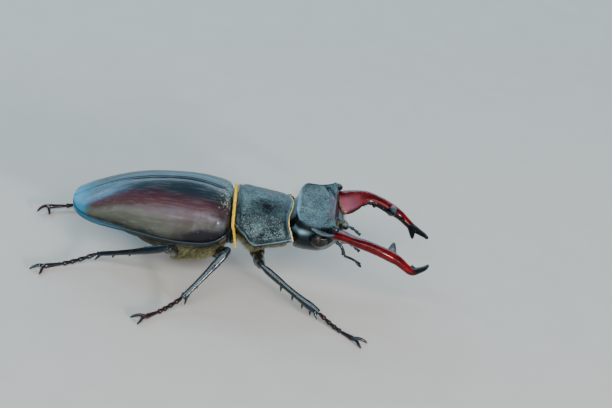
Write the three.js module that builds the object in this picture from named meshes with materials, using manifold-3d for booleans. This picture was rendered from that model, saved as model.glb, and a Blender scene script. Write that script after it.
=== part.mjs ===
// A male stag beetle at life size, standing with its head raised and its jaws open.
// Millimetres, +Z up, +X towards the jaws, +Y towards the beetle's left.
// The floor is z = 0, and the origin lies on it under the middle of the whole beetle.
import * as THREE from "three";
import { mergeVertices } from "three/addons/utils/BufferGeometryUtils.js";
import Module from "manifold-3d";

const wasm = await Module();
wasm.setup();

// ---------------------------------------------------------------- driving dimensions

const GAP = 0.3; // between neighbouring plates and joints
const BODY_PITCH = 3.5; // degrees the trunk's nose is raised
const WAIST_HEIGHT = 9.7; // wing-case margin above the floor, at the waist
const HEAD_YAW = -2.3; // degrees, towards the beetle's right
const NECK = new THREE.Vector3(12.5, 0, 3.0);
const UNDER_MIDDLE = new THREE.Vector3(-1.0, -2.35, 0); // waist, seen from the origin

const ELYTRA_FRONT = 0.2;
const ELYTRA_LENGTH = 30.7;
const ELYTRA_HALF_WIDTH = 10.3;
const SHELL = 1.0; // thickness of a wing case
const SUTURE_GAP = 0.15; // half the gap between the wing cases

const PRONOTUM_BASE = 1.4;
const PRONOTUM_LENGTH = 10; // to the shallowest place of its wavy front edge
const PRONOTUM_HALF_WIDTH = 9.8;
const HEAD_SEAT = 10.7; // bottom of the hollow that takes the head's collar
const SEAT_SCALE = new THREE.Vector3(0, 0.8, 0.8); // of the front edge's outline

const HEAD_HALF_WIDTH = 9.2;
const JAW_HINGE = 21.25; // flat back of a jaw, in front of the brow
const EYE_CENTRE = new THREE.Vector3(17.9, 8.3, 2.0);
const EYE_RADII = new THREE.Vector3(1.75, 0.95, 1.6);

const CLAW_LENGTH = 2.8;

// ---------------------------------------------------------------- curves and closed shapes

// A smooth value through [place, value] pairs, with no overshoot between them.
function through(pairs) {
  const slopes = pairs.slice(1).map(([x, y], i) => (y - pairs[i][1]) / (x - pairs[i][0]));
  const tangents = pairs.map((pair, i) => {
    const before = slopes[Math.max(0, i - 1)];
    const after = slopes[Math.min(slopes.length - 1, i)];
    return before * after <= 0 ? 0 : (2 * before * after) / (before + after);
  });
  return (place) => {
    const x = Math.min(Math.max(place, pairs[0][0]), pairs[pairs.length - 1][0]);
    const i = Math.min(pairs.findLastIndex((pair) => pair[0] <= x), pairs.length - 2);
    const [x0, y0] = pairs[i];
    const [x1, y1] = pairs[i + 1];
    const step = x1 - x0;
    const t = (x - x0) / step;
    const rise = y0 * (1 + 2 * t) * (1 - t) ** 2 + y1 * t * t * (3 - 2 * t);
    return rise + step * t * (1 - t) * (tangents[i] * (1 - t) - tangents[i + 1] * t);
  };
}

// One closed surface over rings of equally many points, each end closed to its middle.
function loft(rings) {
  const count = rings[0].length;
  const points = rings.flat();
  const faces = [];
  for (let r = 0; r + 1 < rings.length; r++) {
    for (let k = 0; k < count; k++) {
      const a = r * count + k;
      const b = r * count + ((k + 1) % count);
      faces.push(a, b, a + count, b, b + count, a + count);
    }
  }
  for (const [ring, turn] of [[0, -1], [rings.length - 1, 1]]) {
    const middle = new THREE.Vector3();
    rings[ring].forEach((point) => middle.addScaledVector(point, 1 / count));
    points.push(middle);
    for (let k = 0; k < count; k++) {
      const a = ring * count + k;
      const b = ring * count + ((k + 1) % count);
      const centre = points.length - 1;
      faces.push(...(turn > 0 ? [a, b, centre] : [b, a, centre]));
    }
  }
  return new THREE.BufferGeometry().setFromPoints(points).setIndex(facingOut(points, faces));
}

// The same triangles, turned round if the volume that they close counts as negative.
function facingOut(points, faces) {
  let volume = 0;
  for (let i = 0; i < faces.length; i += 3) {
    const [a, b, c] = [points[faces[i]], points[faces[i + 1]], points[faces[i + 2]]];
    volume += a.dot(new THREE.Vector3().crossVectors(b, c));
  }
  return volume > 0 ? faces : faces.reverse();
}

// A body swept along a curve. Each station has a place, a half-width, a half-height and a twist.
const UP = new THREE.Vector3(0, 0, 1);

function sweep(stations, { sides, steps }) {
  const last = stations.length - 1;
  const places = stations.map((station) => new THREE.Vector3(...station.at));
  const path = new THREE.CatmullRomCurve3(places, false, "centripetal");
  const along = (key) => through(stations.map((station, i) => [i / last, station[key] ?? 0]));
  const [width, height, twist] = ["wide", "high", "twist"].map(along);
  const rings = [];
  for (let i = 0; i <= steps; i++) {
    const t = i / steps;
    const forward = path.getTangent(t);
    const across = new THREE.Vector3().crossVectors(UP, forward).normalize();
    const over = new THREE.Vector3().crossVectors(forward, across);
    const angle = THREE.MathUtils.degToRad(twist(t));
    const centre = path.getPoint(t);
    const ring = [];
    for (let k = 0; k < sides; k++) {
      const turn = (2 * Math.PI * k) / sides;
      const w = Math.cos(turn) * width(t);
      const h = Math.sin(turn) * height(t);
      const point = centre.clone();
      point.addScaledVector(across, w * Math.cos(angle) - h * Math.sin(angle));
      point.addScaledVector(over, w * Math.sin(angle) + h * Math.cos(angle));
      ring.push(point);
    }
    rings.push(ring);
  }
  return loft(rings);
}

// A thorn from its root to its blunt point.
const THORN_TIP = 0.25;
function thorn(root, point, radius, sides) {
  const from = new THREE.Vector3(...root);
  const reach = new THREE.Vector3(...point).sub(from);
  const cone = new THREE.CylinderGeometry(THORN_TIP, radius, reach.length(), sides);
  cone.translate(0, reach.length() / 2, 0);
  const upright = new THREE.Vector3(0, 1, 0);
  const turn = new THREE.Quaternion().setFromUnitVectors(upright, reach.normalize());
  return cone.applyQuaternion(turn).translate(from.x, from.y, from.z);
}

function ellipsoid(centre, radii, segments) {
  const ball = new THREE.SphereGeometry(1, segments, Math.round(segments * 0.65));
  return ball.scale(radii.x, radii.y, radii.z).translate(centre.x, centre.y, centre.z);
}

// ---------------------------------------------------------------- joins and cuts

function solid(geometry) {
  const bare = geometry.clone();
  bare.deleteAttribute("normal");
  bare.deleteAttribute("uv");
  const merged = mergeVertices(bare, 1e-4);
  const vertProperties = new Float32Array(merged.attributes.position.array);
  const triVerts = new Uint32Array(merged.index.array);
  return new wasm.Manifold(new wasm.Mesh({ numProp: 3, vertProperties, triVerts }));
}

function surface(body) {
  const mesh = body.getMesh();
  const geometry = new THREE.BufferGeometry();
  geometry.setAttribute("position", new THREE.BufferAttribute(mesh.vertProperties, 3));
  return geometry.setIndex(new THREE.BufferAttribute(mesh.triVerts, 1));
}

function joined(first, ...others) {
  return surface(others.reduce((whole, other) => whole.add(solid(other)), solid(first)));
}

function cut(first, ...others) {
  return surface(others.reduce((whole, other) => whole.subtract(solid(other)), solid(first)));
}

// The same shape on the beetle's other side, with its faces still pointing out.
function mirrored(geometry) {
  const other = geometry.clone().scale(1, -1, 1);
  const index = Array.from(other.index.array);
  for (let i = 0; i < index.length; i += 3) [index[i], index[i + 1]] = [index[i + 1], index[i]];
  return other.setIndex(index);
}

// ---------------------------------------------------------------- finishes

const finish = (color, roughness) => new THREE.MeshStandardMaterial({ color, roughness, metalness: 0 });
const WING_CASE = finish(0x3a1f1c, 0.3);
const CUTICLE = finish(0x23272a, 0.5);
const JAW = finish(0x5c0f12, 0.22);
const UNDERSIDE = finish(0x4a4632, 0.7);
const EYE = finish(0x0c0c0e, 0.15);
const LEG = finish(0x17191c, 0.3);
const FOOT = finish(0x2b1213, 0.35);

const beetle = new THREE.Group();
const stance = new THREE.Group();
stance.position.copy(UNDER_MIDDLE);
const trunk = new THREE.Group();
trunk.position.z = WAIST_HEIGHT;
trunk.rotation.y = THREE.MathUtils.degToRad(-BODY_PITCH);
const head = new THREE.Group();
head.position.copy(NECK);
head.rotation.z = THREE.MathUtils.degToRad(HEAD_YAW);
beetle.add(stance);
stance.add(trunk);
trunk.add(head);

function add(group, name, geometry, material) {
  const mesh = new THREE.Mesh(geometry, material);
  mesh.name = name;
  group.add(mesh);
}

// ---------------------------------------------------------------- wing cases, breast and belly

// Along the wing cases, 0 is the front edge and 1 the tip.
const elytraFront = through([[0, 0.8], [0.02, 0.86], [0.1, 0.962], [0.2, 0.992], [0.3, 1], [1, 1]]);
const ELYTRA_TAPER = 3.5;
const elytraRear = through([
  [0, 1], [0.65, 1], [0.75, 1.04], [0.85, 1.15], [0.92, 1.28], [0.97, 1.43], [1, 1.5],
]); // makes the tip rounder than the taper alone
const elytraWidth = (s) =>
  ELYTRA_HALF_WIDTH * elytraFront(s) * elytraRear(s) * Math.sqrt(1 - s ** ELYTRA_TAPER);
const elytraMargin = through([
  [0, 1.3], [0.03, 0.5], [0.09, -0.4], [0.16, -0.85], [0.28, -0.95], [0.4, -0.75],
  [0.56, -0.15], [0.8, 0.3], [1, 1],
]);
const elytraSuture = through([
  [0, 5.9], [0.05, 6.6], [0.12, 7.2], [0.2, 7.75], [0.29, 8.0], [0.45, 7.7], [0.61, 6.85],
  [0.73, 5.7], [0.85, 4.0], [0.91, 3.05], [0.96, 2.2], [1, 1.6],
]);
const elytraFall = through([
  [0, 0.78], [0.12, 0.8], [0.3, 1], [0.45, 0.97], [0.6, 0.89], [0.7, 0.84], [0.9, 0.8], [1, 0.8],
]); // under 1 is fuller than an ellipse
const ELYTRA_STATIONS = [0, 0.03, 0.09, 0.18, 0.3, 0.44, 0.57, 0.69, 0.8, 0.88, 0.94, 0.98, 0.997];
const marginWidth = through([[0, 0.5], [0.4, 0.7], [0.8, 1.2], [0.95, 0.9], [1, 0.3]]);
const MARGIN_LIP = 0.35; // depth of the wing case's turned-down edge
const ARC_STEPS = 8;
const alongElytra = (s) => ELYTRA_FRONT - ELYTRA_LENGTH * s;

// A point of the vault: turn 0 is the suture and 90 degrees the foot of the vault.
function vault(s, turn, inset) {
  const radius = elytraWidth(s) - marginWidth(s);
  const foot = elytraMargin(s) + 0.15;
  const rise = Math.max(elytraSuture(s) - foot, 0.2);
  const y = Math.max((radius - inset) * Math.sin(turn), 0);
  const fall = Math.max(Math.cos(turn), 0) ** elytraFall(s);
  const z = foot + Math.max(rise - inset, 0.05) * fall;
  return new THREE.Vector3(alongElytra(s), y, z);
}

function elytron() {
  const rings = ELYTRA_STATIONS.map((s) => {
    const ring = [];
    for (let i = 0; i <= ARC_STEPS; i++) {
      const point = vault(s, (i / ARC_STEPS) * (Math.PI / 2), 0);
      point.y = Math.max(point.y, SUTURE_GAP);
      ring.push(point);
    }
    const edge = Math.max(elytraWidth(s), SUTURE_GAP + 0.6);
    const foot = elytraMargin(s);
    ring.push(new THREE.Vector3(alongElytra(s), edge - 0.2, foot + 0.3));
    ring.push(new THREE.Vector3(alongElytra(s), edge, foot));
    ring.push(new THREE.Vector3(alongElytra(s), edge - 0.3, foot - MARGIN_LIP));
    for (let i = ARC_STEPS; i >= 0; i--) {
      const inner = vault(s, (i / ARC_STEPS) * (Math.PI / 2), SHELL);
      inner.y = Math.max(inner.y, SUTURE_GAP);
      inner.z = Math.max(inner.z - 0.3, foot - MARGIN_LIP);
      ring.push(inner);
    }
    return ring;
  });
  return loft(rings);
}

const SCUTELLUM = { length: 2.6, half: 1.7, front: 0.3, thick: 1.2, height: 4.75 };
const SCUTELLUM_SLOPE = 0.28; // radians, rising backwards with the suture

// The heart-shaped plate between the wing cases, or with a swell the room that they leave it.
function scutellum(swell) {
  const front = SCUTELLUM.front + swell;
  const half = SCUTELLUM.half + swell;
  const bulge = half + 0.2;
  const tip = -SCUTELLUM.length - swell;
  const outline = new THREE.Shape();
  outline.moveTo(front, -half);
  outline.lineTo(front, half);
  outline.quadraticCurveTo(-1.6, bulge, tip, 0);
  outline.quadraticCurveTo(-1.6, -bulge, front, -half);
  const depth = SCUTELLUM.thick + swell;
  const plate = new THREE.ExtrudeGeometry(outline, { depth, bevelEnabled: false, curveSegments: 5 });
  return plate.rotateY(SCUTELLUM_SLOPE).translate(0, 0, SCUTELLUM.height - swell / 2);
}

const shell = cut(elytron(), scutellum(GAP));
add(trunk, "elytron_left", shell, WING_CASE);
add(trunk, "elytron_right", mirrored(shell), WING_CASE);
add(trunk, "scutellum", scutellum(0), CUTICLE);

// The body under the wing cases, between two places along them.
const bellyWidth = through([
  [0, 7.6], [0.05, 8.2], [0.2, 9.1], [0.36, 9.1], [0.5, 8.2], [0.65, 6.4], [0.8, 4.6], [0.93, 2.2],
]);
const bellyDepth = through([
  [0, 3.4], [0.08, 4.4], [0.2, 5.2], [0.3, 5.3], [0.42, 4.2], [0.6, 2.9], [0.8, 1.9], [0.93, 1.0],
]);
const bellySquareness = through([[0, 2.6], [0.3, 2.8], [0.5, 2.3], [0.9, 2]]);
const BACK_CLEARANCE = 0.75; // between the shell and the soft back under it
const BELLY_STEPS = 5;

function underBody(from, to, steps) {
  const rings = [];
  for (let r = 0; r <= steps; r++) {
    const s = from + ((to - from) * r) / steps;
    const half = [];
    for (let i = 0; i <= BELLY_STEPS; i++) {
      const back = vault(s, (i / BELLY_STEPS) * (Math.PI / 2), SHELL + BACK_CLEARANCE);
      back.z -= MARGIN_LIP;
      back.y = Math.min(back.y, bellyWidth(s));
      half.push(back);
    }
    const top = elytraMargin(s) - BACK_CLEARANCE;
    for (let i = 1; i <= BELLY_STEPS; i++) {
      const turn = (i / BELLY_STEPS) * (Math.PI / 2);
      const y = bellyWidth(s) * Math.cos(turn) ** (2 / bellySquareness(s));
      const z = top - bellyDepth(s) * Math.sin(turn) ** (2 / bellySquareness(s));
      half.push(new THREE.Vector3(alongElytra(s), i === BELLY_STEPS ? 0 : y, z));
    }
    const other = half.slice(1, -1).reverse().map((p) => new THREE.Vector3(p.x, -p.y, p.z));
    rings.push([...half, ...other]);
  }
  return loft(rings);
}

const JOINT_BEHIND_HIND_LEGS = 0.33;
const metathorax = underBody(0.01, JOINT_BEHIND_HIND_LEGS, 6);
const abdomen = underBody(JOINT_BEHIND_HIND_LEGS + GAP / ELYTRA_LENGTH, 0.925, 8);

const WAIST = { halfWidth: 6.4, halfHeight: 4.35, height: 0.35, squareness: 2.6, sides: 16 };

function waist() {
  const ring = (x, scale) => {
    const points = [];
    for (let k = 0; k < WAIST.sides; k++) {
      const turn = (k / WAIST.sides) * 2 * Math.PI;
      const squared = (value) => Math.sign(value) * Math.abs(value) ** (2 / WAIST.squareness);
      const y = WAIST.halfWidth * scale * squared(Math.sin(turn));
      const z = WAIST.height + WAIST.halfHeight * scale * squared(Math.cos(turn));
      points.push(new THREE.Vector3(x, y, z));
    }
    return points;
  };
  return loft([ring(ELYTRA_FRONT + GAP, 0.95), ring(PRONOTUM_BASE - GAP, 1)]);
}

// ---------------------------------------------------------------- prothorax

const pronotumWidth = through([
  [0, 0.7], [0.06, 0.79], [0.17, 0.913], [0.31, 0.988], [0.39, 1], [0.68, 0.967], [1, 0.89],
]);
const pronotumMargin = through([
  [0, 2.5], [0.06, 2.2], [0.17, 1.75], [0.31, 0.4], [0.39, 0.0], [0.68, 0.55], [1, 1.3],
]);
const pronotumTop = through([
  [0, 6.2], [0.06, 6.1], [0.17, 5.95], [0.37, 5.95], [0.68, 5.5], [0.86, 5.1], [0.96, 4.8], [1, 4.7],
]);
const pronotumFall = through([[0, 1], [0.2, 1.15], [1, 1.5]]); // over 1 flattens towards the side edges
const PRONOTUM_LIP = 0.4; // depth of its side edge
const sternumDepth = through([[0, 3.6], [0.3, 3.9], [0.55, 3.2], [1, 3.6]]);

// The front edge reaches forward in the middle and at the corners.
const frontReach = through([
  [0, 0.7], [0.25, 0.45], [0.5, 0.02], [0.66, 0.02], [0.84, 0.42], [1, 1.05],
]);

function pronotumPoint(s, turn) {
  const x = PRONOTUM_BASE + PRONOTUM_LENGTH * s + frontReach(Math.abs(Math.sin(turn))) * s ** 3;
  const y = PRONOTUM_HALF_WIDTH * pronotumWidth(s) * Math.sin(turn);
  const rise = (pronotumTop(s) - pronotumMargin(s)) * Math.max(Math.cos(turn), 0) ** pronotumFall(s);
  return new THREE.Vector3(x, y, pronotumMargin(s) + rise);
}

function pronotum() {
  const rings = [0, 0.05, 0.13, 0.23, 0.33, 0.5, 0.7, 0.88, 0.96, 1].map((s) => {
    const ring = [];
    for (let i = -8; i <= 8; i++) ring.push(pronotumPoint(s, (i / 16) * Math.PI));
    for (const part of [0.92, 0.5, 0, -0.5, -0.92]) {
      const under = pronotumPoint(s, Math.asin(part));
      under.z = pronotumMargin(s) - PRONOTUM_LIP;
      ring.push(under);
    }
    return ring;
  });
  // The head's collar is seated in a shallow hollow in the front.
  const middle = new THREE.Vector3(HEAD_SEAT, 0, 2.6);
  const hollow = rings.at(-1).map((point) => point.clone().sub(middle).multiply(SEAT_SCALE).add(middle));
  return loft([...rings, hollow]);
}

const STERNUM_LENGTH = 10.6;
const STERNUM_INSET = 2.6; // each side, under the edge of the pronotum

function prosternum() {
  const rings = [0.02, 0.16, 0.34, 0.55, 0.78, 0.97].map((s) => {
    const ring = [];
    const x = PRONOTUM_BASE + STERNUM_LENGTH * s;
    const width = PRONOTUM_HALF_WIDTH * pronotumWidth(s) - STERNUM_INSET * Math.min(1, 0.35 + s);
    const top = pronotumMargin(s) - PRONOTUM_LIP - GAP;
    for (let i = 0; i <= 8; i++) {
      const turn = (i / 8) * Math.PI;
      const z = top - sternumDepth(s) * Math.sin(turn);
      ring.push(new THREE.Vector3(x, -width * Math.cos(turn), z));
    }
    for (const part of [0.5, 0, -0.5]) ring.push(new THREE.Vector3(x, width * part, top));
    return ring;
  });
  return loft(rings);
}

// ---------------------------------------------------------------- head

// Head sections from the neck to the brow: height of the middle, place of the crest that borders the
// plate, of the cheek below it and of the throat's side, and height of the throat.
const HEAD_SECTIONS = [
  { x: 11.3, mid: 3.2, crest: [3.8, 3.0], cheek: [4.8, 2.5], throat: [4.2, 2.1], low: 2.0, bow: 0 },
  { x: 12.2, mid: 4.0, crest: [5.2, 3.4], cheek: [6.6, 2.5], throat: [6.0, 1.8], low: 1.6, bow: 0.8 },
  { x: 12.8, mid: 4.7, crest: [6.6, 4.2], cheek: [7.8, 1.9], throat: [6.4, -0.7], low: -2.3, bow: 1.0 },
  { x: 13.0, mid: 5.1, crest: [7.6, 5.0], cheek: [8.2, 1.9], throat: [6.6, -0.9], low: -2.5, bow: 1.1 },
  { x: 13.6, mid: 5.1, crest: [8.2, 5.4], cheek: [8.4, 1.9], throat: [6.7, -1.0], low: -2.6, bow: 1.0 },
  { x: 15.5, mid: 4.7, crest: [8.5, 5.1], cheek: [8.4, 2.0], throat: [6.8, -1.1], low: -2.7, bow: 0 },
  { x: 17.5, mid: 4.6, crest: [8.75, 5.05], cheek: [8.4, 2.0], throat: [6.8, -1.1], low: -2.7, bow: 0 },
  { x: 19.3, mid: 4.9, crest: [9.1, 5.3], cheek: [8.6, 2.3], throat: [6.7, -0.9], low: -2.6, bow: 0 },
  { x: 20.1, mid: 5.4, crest: [9.2, 5.8], cheek: [8.6, 2.6], throat: [6.6, -0.7], low: -2.4, bow: 0.3 },
  { x: 20.6, mid: 4.9, crest: [8.9, 5.2], cheek: [8.3, 2.8], throat: [6.4, -0.4], low: -2.2, bow: 0.3 },
  { x: 20.9, mid: 4.0, crest: [8.1, 4.3], cheek: [7.7, 2.6], throat: [6.0, 0.0], low: -2.0, bow: 0 },
];

function headRing({ x, mid, crest, cheek, throat, low, bow }) {
  const half = [
    [0, mid],
    [crest[0] * 0.4, mid + (crest[1] - mid) * 0.1],
    [crest[0] * 0.72, mid + (crest[1] - mid) * 0.45],
    [crest[0] * 0.93, crest[1]],
    [crest[0], crest[1] - 0.35],
    [(crest[0] + cheek[0]) / 2 - 0.25, (crest[1] + cheek[1]) / 2],
    cheek,
    [cheek[0] - 0.35, (cheek[1] * 2 + throat[1]) / 3 - 0.3],
    throat,
    [throat[0] * 0.6, low + 0.2],
    [0, low],
  ];
  const place = ([y, z]) => new THREE.Vector3(x + bow * (y / HEAD_HALF_WIDTH) ** 2, y, z);
  const left = half.map(place);
  const right = left.slice(1, -1).reverse().map((p) => new THREE.Vector3(p.x, -p.y, p.z));
  return [...left, ...right];
}

// The brow's front, which falls to the upper lip between the jaws.
const CLYPEUS_SECTIONS = [
  { x: 20.4, half: 4.2, top: 4.5, low: -2.0 },
  { x: 21.2, half: 3.1, top: 3.7, low: -1.8 },
  { x: 22.2, half: 2.7, top: 2.9, low: -1.1 },
];
const CLYPEUS_BEVEL = 0.4;
const EAR_CENTRE = new THREE.Vector3(20.6, 8.7, 5.0); // the knob at each front corner of the plate
const EAR_RADII = new THREE.Vector3(0.95, 0.85, 0.75);

function clypeus() {
  const rings = CLYPEUS_SECTIONS.map(({ x, half, top, low }) => [
    new THREE.Vector3(x, half, top - CLYPEUS_BEVEL),
    new THREE.Vector3(x, half, low + CLYPEUS_BEVEL),
    new THREE.Vector3(x, half * 0.5, low),
    new THREE.Vector3(x, -half * 0.5, low),
    new THREE.Vector3(x, -half, low + CLYPEUS_BEVEL),
    new THREE.Vector3(x, -half, top - CLYPEUS_BEVEL),
    new THREE.Vector3(x, -half * 0.4, top),
    new THREE.Vector3(x, half * 0.4, top),
  ]);
  return loft(rings);
}

function socketed(geometry) {
  const wide = EYE_RADII.clone().addScalar(GAP);
  const right = new THREE.Vector3(EYE_CENTRE.x, -EYE_CENTRE.y, EYE_CENTRE.z);
  return cut(geometry, ellipsoid(EYE_CENTRE, wide, 10), ellipsoid(right, wide, 10));
}

const inHead = (geometry) => geometry.clone().translate(-NECK.x, -NECK.y, -NECK.z);

function capsule() {
  const skull = loft(HEAD_SECTIONS.map(headRing));
  const ear = ellipsoid(EAR_CENTRE, EAR_RADII, 7);
  return socketed(joined(skull, clypeus(), ear, mirrored(ear)));
}

function labrum() {
  const stations = [
    { at: [22.55, 0, 1.4], wide: 1.8, high: 0.5 },
    { at: [23.0, 0, 1.2], wide: 1.6, high: 0.45 },
    { at: [23.4, 0, 1.0], wide: 0.9, high: 0.3 },
  ];
  return sweep(stations, { sides: 8, steps: 3 });
}

// ---------------------------------------------------------------- jaws

// The left jaw, from inside its hinge to its tip; the right one is mirrored.
const JAW_STATIONS = [
  { at: [20.9, 6.4, 2.5], wide: 2.7, high: 1.2, twist: 26 },
  { at: [22.2, 6.9, 2.7], wide: 2.75, high: 1.15, twist: 27 },
  { at: [23.6, 7.9, 2.85], wide: 2.45, high: 1.0, twist: 28 },
  { at: [25.1, 9.0, 2.95], wide: 1.9, high: 1.0, twist: 28 },
  { at: [26.8, 9.65, 2.9], wide: 1.5, high: 1.05, twist: 24 },
  { at: [29.0, 9.8, 2.3], wide: 1.25, high: 1.05, twist: 16 },
  { at: [31.6, 9.5, 1.2], wide: 1.3, high: 1.1, twist: 8 },
  { at: [33.5, 9.4, 0.2], wide: 1.05, high: 0.95, twist: 0 },
  { at: [35.0, 9.3, -1.0], wide: 0.92, high: 0.82, twist: 0 },
  { at: [36.3, 9.0, -1.95], wide: 0.86, high: 0.75, twist: 0 },
  { at: [37.7, 7.8, -2.2], wide: 0.7, high: 0.6, twist: 0 },
  { at: [38.9, 6.6, -2.25], wide: 0.52, high: 0.46, twist: 0 },
  { at: [39.6, 5.4, -2.2], wide: 0.32, high: 0.3, twist: 0 },
];

const JAW_TEETH = [
  { root: [31.9, 8.9, 1.1], point: [32.4, 5.7, 2.1], radius: 1.15 },
  { root: [36.4, 8.4, -2.0], point: [36.6, 5.4, -2.75], radius: 0.85 },
  { root: [28.2, 9.3, 2.3], point: [28.3, 8.0, 1.8], radius: 0.7 },
  { root: [34.0, 9.2, -0.2], point: [34.3, 7.9, -0.2], radius: 0.55 },
];

function mandible() {
  const teeth = JAW_TEETH.map(({ root, point, radius }) => thorn(root, point, radius, 6));
  const jaw = joined(sweep(JAW_STATIONS, { sides: 9, steps: 17 }), ...teeth);
  const behindHinge = new THREE.BoxGeometry(8, 20, 20).translate(JAW_HINGE - 4, 8, 2);
  return cut(jaw, behindHinge);
}

// ---------------------------------------------------------------- feelers and palps

// Places on the left side; the right ones are mirrored.
const FEELERS = {
  right: {
    scape: [
      { at: [21.2, 9.0, 2.4], wide: 0.42, high: 0.42 },
      { at: [22.0, 9.3, 2.1], wide: 0.33, high: 0.33 },
      { at: [22.7, 9.4, 1.0], wide: 0.33, high: 0.33 },
      { at: [22.9, 9.4, 0.2], wide: 0.42, high: 0.42 },
    ],
    club: [
      { at: [23.3, 9.5, -0.25], wide: 0.3, high: 0.3 },
      { at: [24.1, 9.7, -0.25], wide: 0.32, high: 0.32 },
      { at: [24.8, 9.9, -0.4], wide: 0.36, high: 0.45 },
      { at: [25.7, 10.1, -0.75], wide: 0.38, high: 0.65 },
      { at: [26.3, 10.2, -1.0], wide: 0.3, high: 0.35 },
    ],
  },
  left: {
    scape: [
      { at: [21.2, 9.0, 2.4], wide: 0.42, high: 0.42 },
      { at: [21.8, 10.2, 2.2], wide: 0.33, high: 0.33 },
      { at: [22.2, 11.4, 1.6], wide: 0.33, high: 0.33 },
      { at: [22.4, 12.1, 1.0], wide: 0.42, high: 0.42 },
    ],
    club: [
      { at: [22.9, 12.5, 0.7], wide: 0.3, high: 0.3 },
      { at: [23.7, 12.9, 0.7], wide: 0.32, high: 0.32 },
      { at: [24.4, 13.2, 0.6], wide: 0.36, high: 0.45 },
      { at: [25.2, 13.5, 0.35], wide: 0.38, high: 0.65 },
      { at: [25.8, 13.7, 0.15], wide: 0.3, high: 0.35 },
    ],
  },
};
const PALP = [
  { at: [22.3, 3.1, -0.9], wide: 0.3, high: 0.3 },
  { at: [23.5, 3.2, -0.5], wide: 0.33, high: 0.33 },
  { at: [24.7, 3.3, -1.1], wide: 0.3, high: 0.3 },
  { at: [25.6, 3.3, -1.8], wide: 0.36, high: 0.36 },
  { at: [26.1, 3.3, -2.2], wide: 0.28, high: 0.28 },
];

// ---------------------------------------------------------------- legs

// Joints from the floor point under the waist: hip, knee, ankle, toe and the way the claws point.
const LEGS = {
  fore_right: {
    hip: [6.4, -3.6, 5.6],
    knee: [7.3, -13.8, 8.3],
    ankle: [19.4, -17.2, 2.0],
    toe: [26.4, -22.2, 0.55],
    heading: -30,
  },
  mid_right: {
    hip: [-1.5, -3.6, 4.4],
    knee: [0.6, -12.9, 10.0],
    ankle: [-6.66, -19.5, 2.0],
    toe: [-12.9, -25.8, 0.6],
    heading: 215,
  },
  hind_right: {
    hip: [-8.4, -3.8, 3.7],
    knee: [-10.8, -13.1, 8.5],
    ankle: [-24.1, -8.4, 2.0],
    toe: [-33.6, -13.7, 0.6],
    heading: 235,
  },
  fore_left: {
    hip: [6.4, 3.6, 5.6],
    knee: [5.2, 13.9, 8.3],
    ankle: [13.6, 22.5, 2.0],
    toe: [16.9, 30.5, 0.55],
    heading: 80,
  },
  mid_left: {
    hip: [-1.5, 3.6, 4.4],
    knee: [-1.6, 13.2, 10.0],
    ankle: [-9.2, 19.6, 2.0],
    toe: [-16.4, 24.9, 0.6],
    heading: 150,
  },
  hind_left: {
    hip: [-8.4, 3.8, 3.7],
    knee: [-12.4, 13.2, 8.6],
    ankle: [-26.4, 13.0, 2.0],
    toe: [-36.2, 8.7, 0.9],
    heading: 260,
  },
};
const SPINES = { fore: [0.35, 0.55, 0.72, 0.86], mid: [0.45, 0.66, 0.84], hind: [0.5, 0.74] };
const COXA_RADII = new THREE.Vector3(1.5, 1.9, 1.5);
const vec = (place) => new THREE.Vector3(...place);
const between = (a, b, t) => vec(a).lerp(vec(b), t);

function coxa({ hip, knee }, swell) {
  const outward = vec(knee).sub(vec(hip)).setZ(0).normalize();
  const centre = vec(hip).addScaledVector(outward, 0.4);
  return ellipsoid(centre, COXA_RADII.clone().addScalar(swell), 8);
}

// A limb piece between two joints, kept off each, and sagging by the given amount between them.
function limb(from, to, { offStart, offEnd, sag, widths, heights, swell, sides }) {
  const start = vec(from);
  const end = vec(to);
  const forward = end.clone().sub(start).normalize();
  start.addScaledVector(forward, offStart);
  end.addScaledVector(forward, -offEnd);
  const stations = widths.map((wide, i) => {
    const t = i / (widths.length - 1);
    const at = start.clone().lerp(end, t);
    at.z -= sag * 4 * t * (1 - t);
    return { at: at.toArray(), wide: wide + swell, high: heights[i] + swell };
  });
  return sweep(stations, { sides, steps: widths.length - 1 });
}

const FEMUR = {
  offStart: 2.6,
  offEnd: 0.9,
  sag: 0.6,
  widths: [0.55, 0.9, 1.15, 1.15, 1.0, 0.9, 0.65],
  heights: [0.6, 1.0, 1.3, 1.3, 1.1, 0.95, 0.7],
  sides: 7,
};
// The fore shins, which dig, widen to their ends, and the others are thickest at the knee.
const TIBIA = { offStart: 0.45, offEnd: 0.3, sag: 0.25, swell: 0, sides: 6 };
const SHINS = {
  fore: {
    widths: [0.6, 0.68, 0.58, 0.58, 0.64, 0.7, 0.68],
    heights: [0.65, 0.72, 0.62, 0.62, 0.7, 0.8, 0.82],
  },
  mid: {
    widths: [0.65, 0.82, 0.7, 0.63, 0.59, 0.56, 0.5],
    heights: [0.7, 0.88, 0.73, 0.65, 0.61, 0.58, 0.54],
  },
  hind: {
    widths: [0.6, 0.72, 0.6, 0.54, 0.5, 0.46, 0.4],
    heights: [0.65, 0.78, 0.63, 0.56, 0.52, 0.48, 0.44],
  },
};
const SPINE = { out: { fore: 1.8, mid: 1.25, hind: 1.1 }, along: 1.0, radius: 0.45 };
const SPUR = { place: 0.93, out: 1.1, along: 1.5, radius: 0.45 };

const femur = ({ hip, knee }, swell) => limb(hip, knee, { ...FEMUR, swell });

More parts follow.
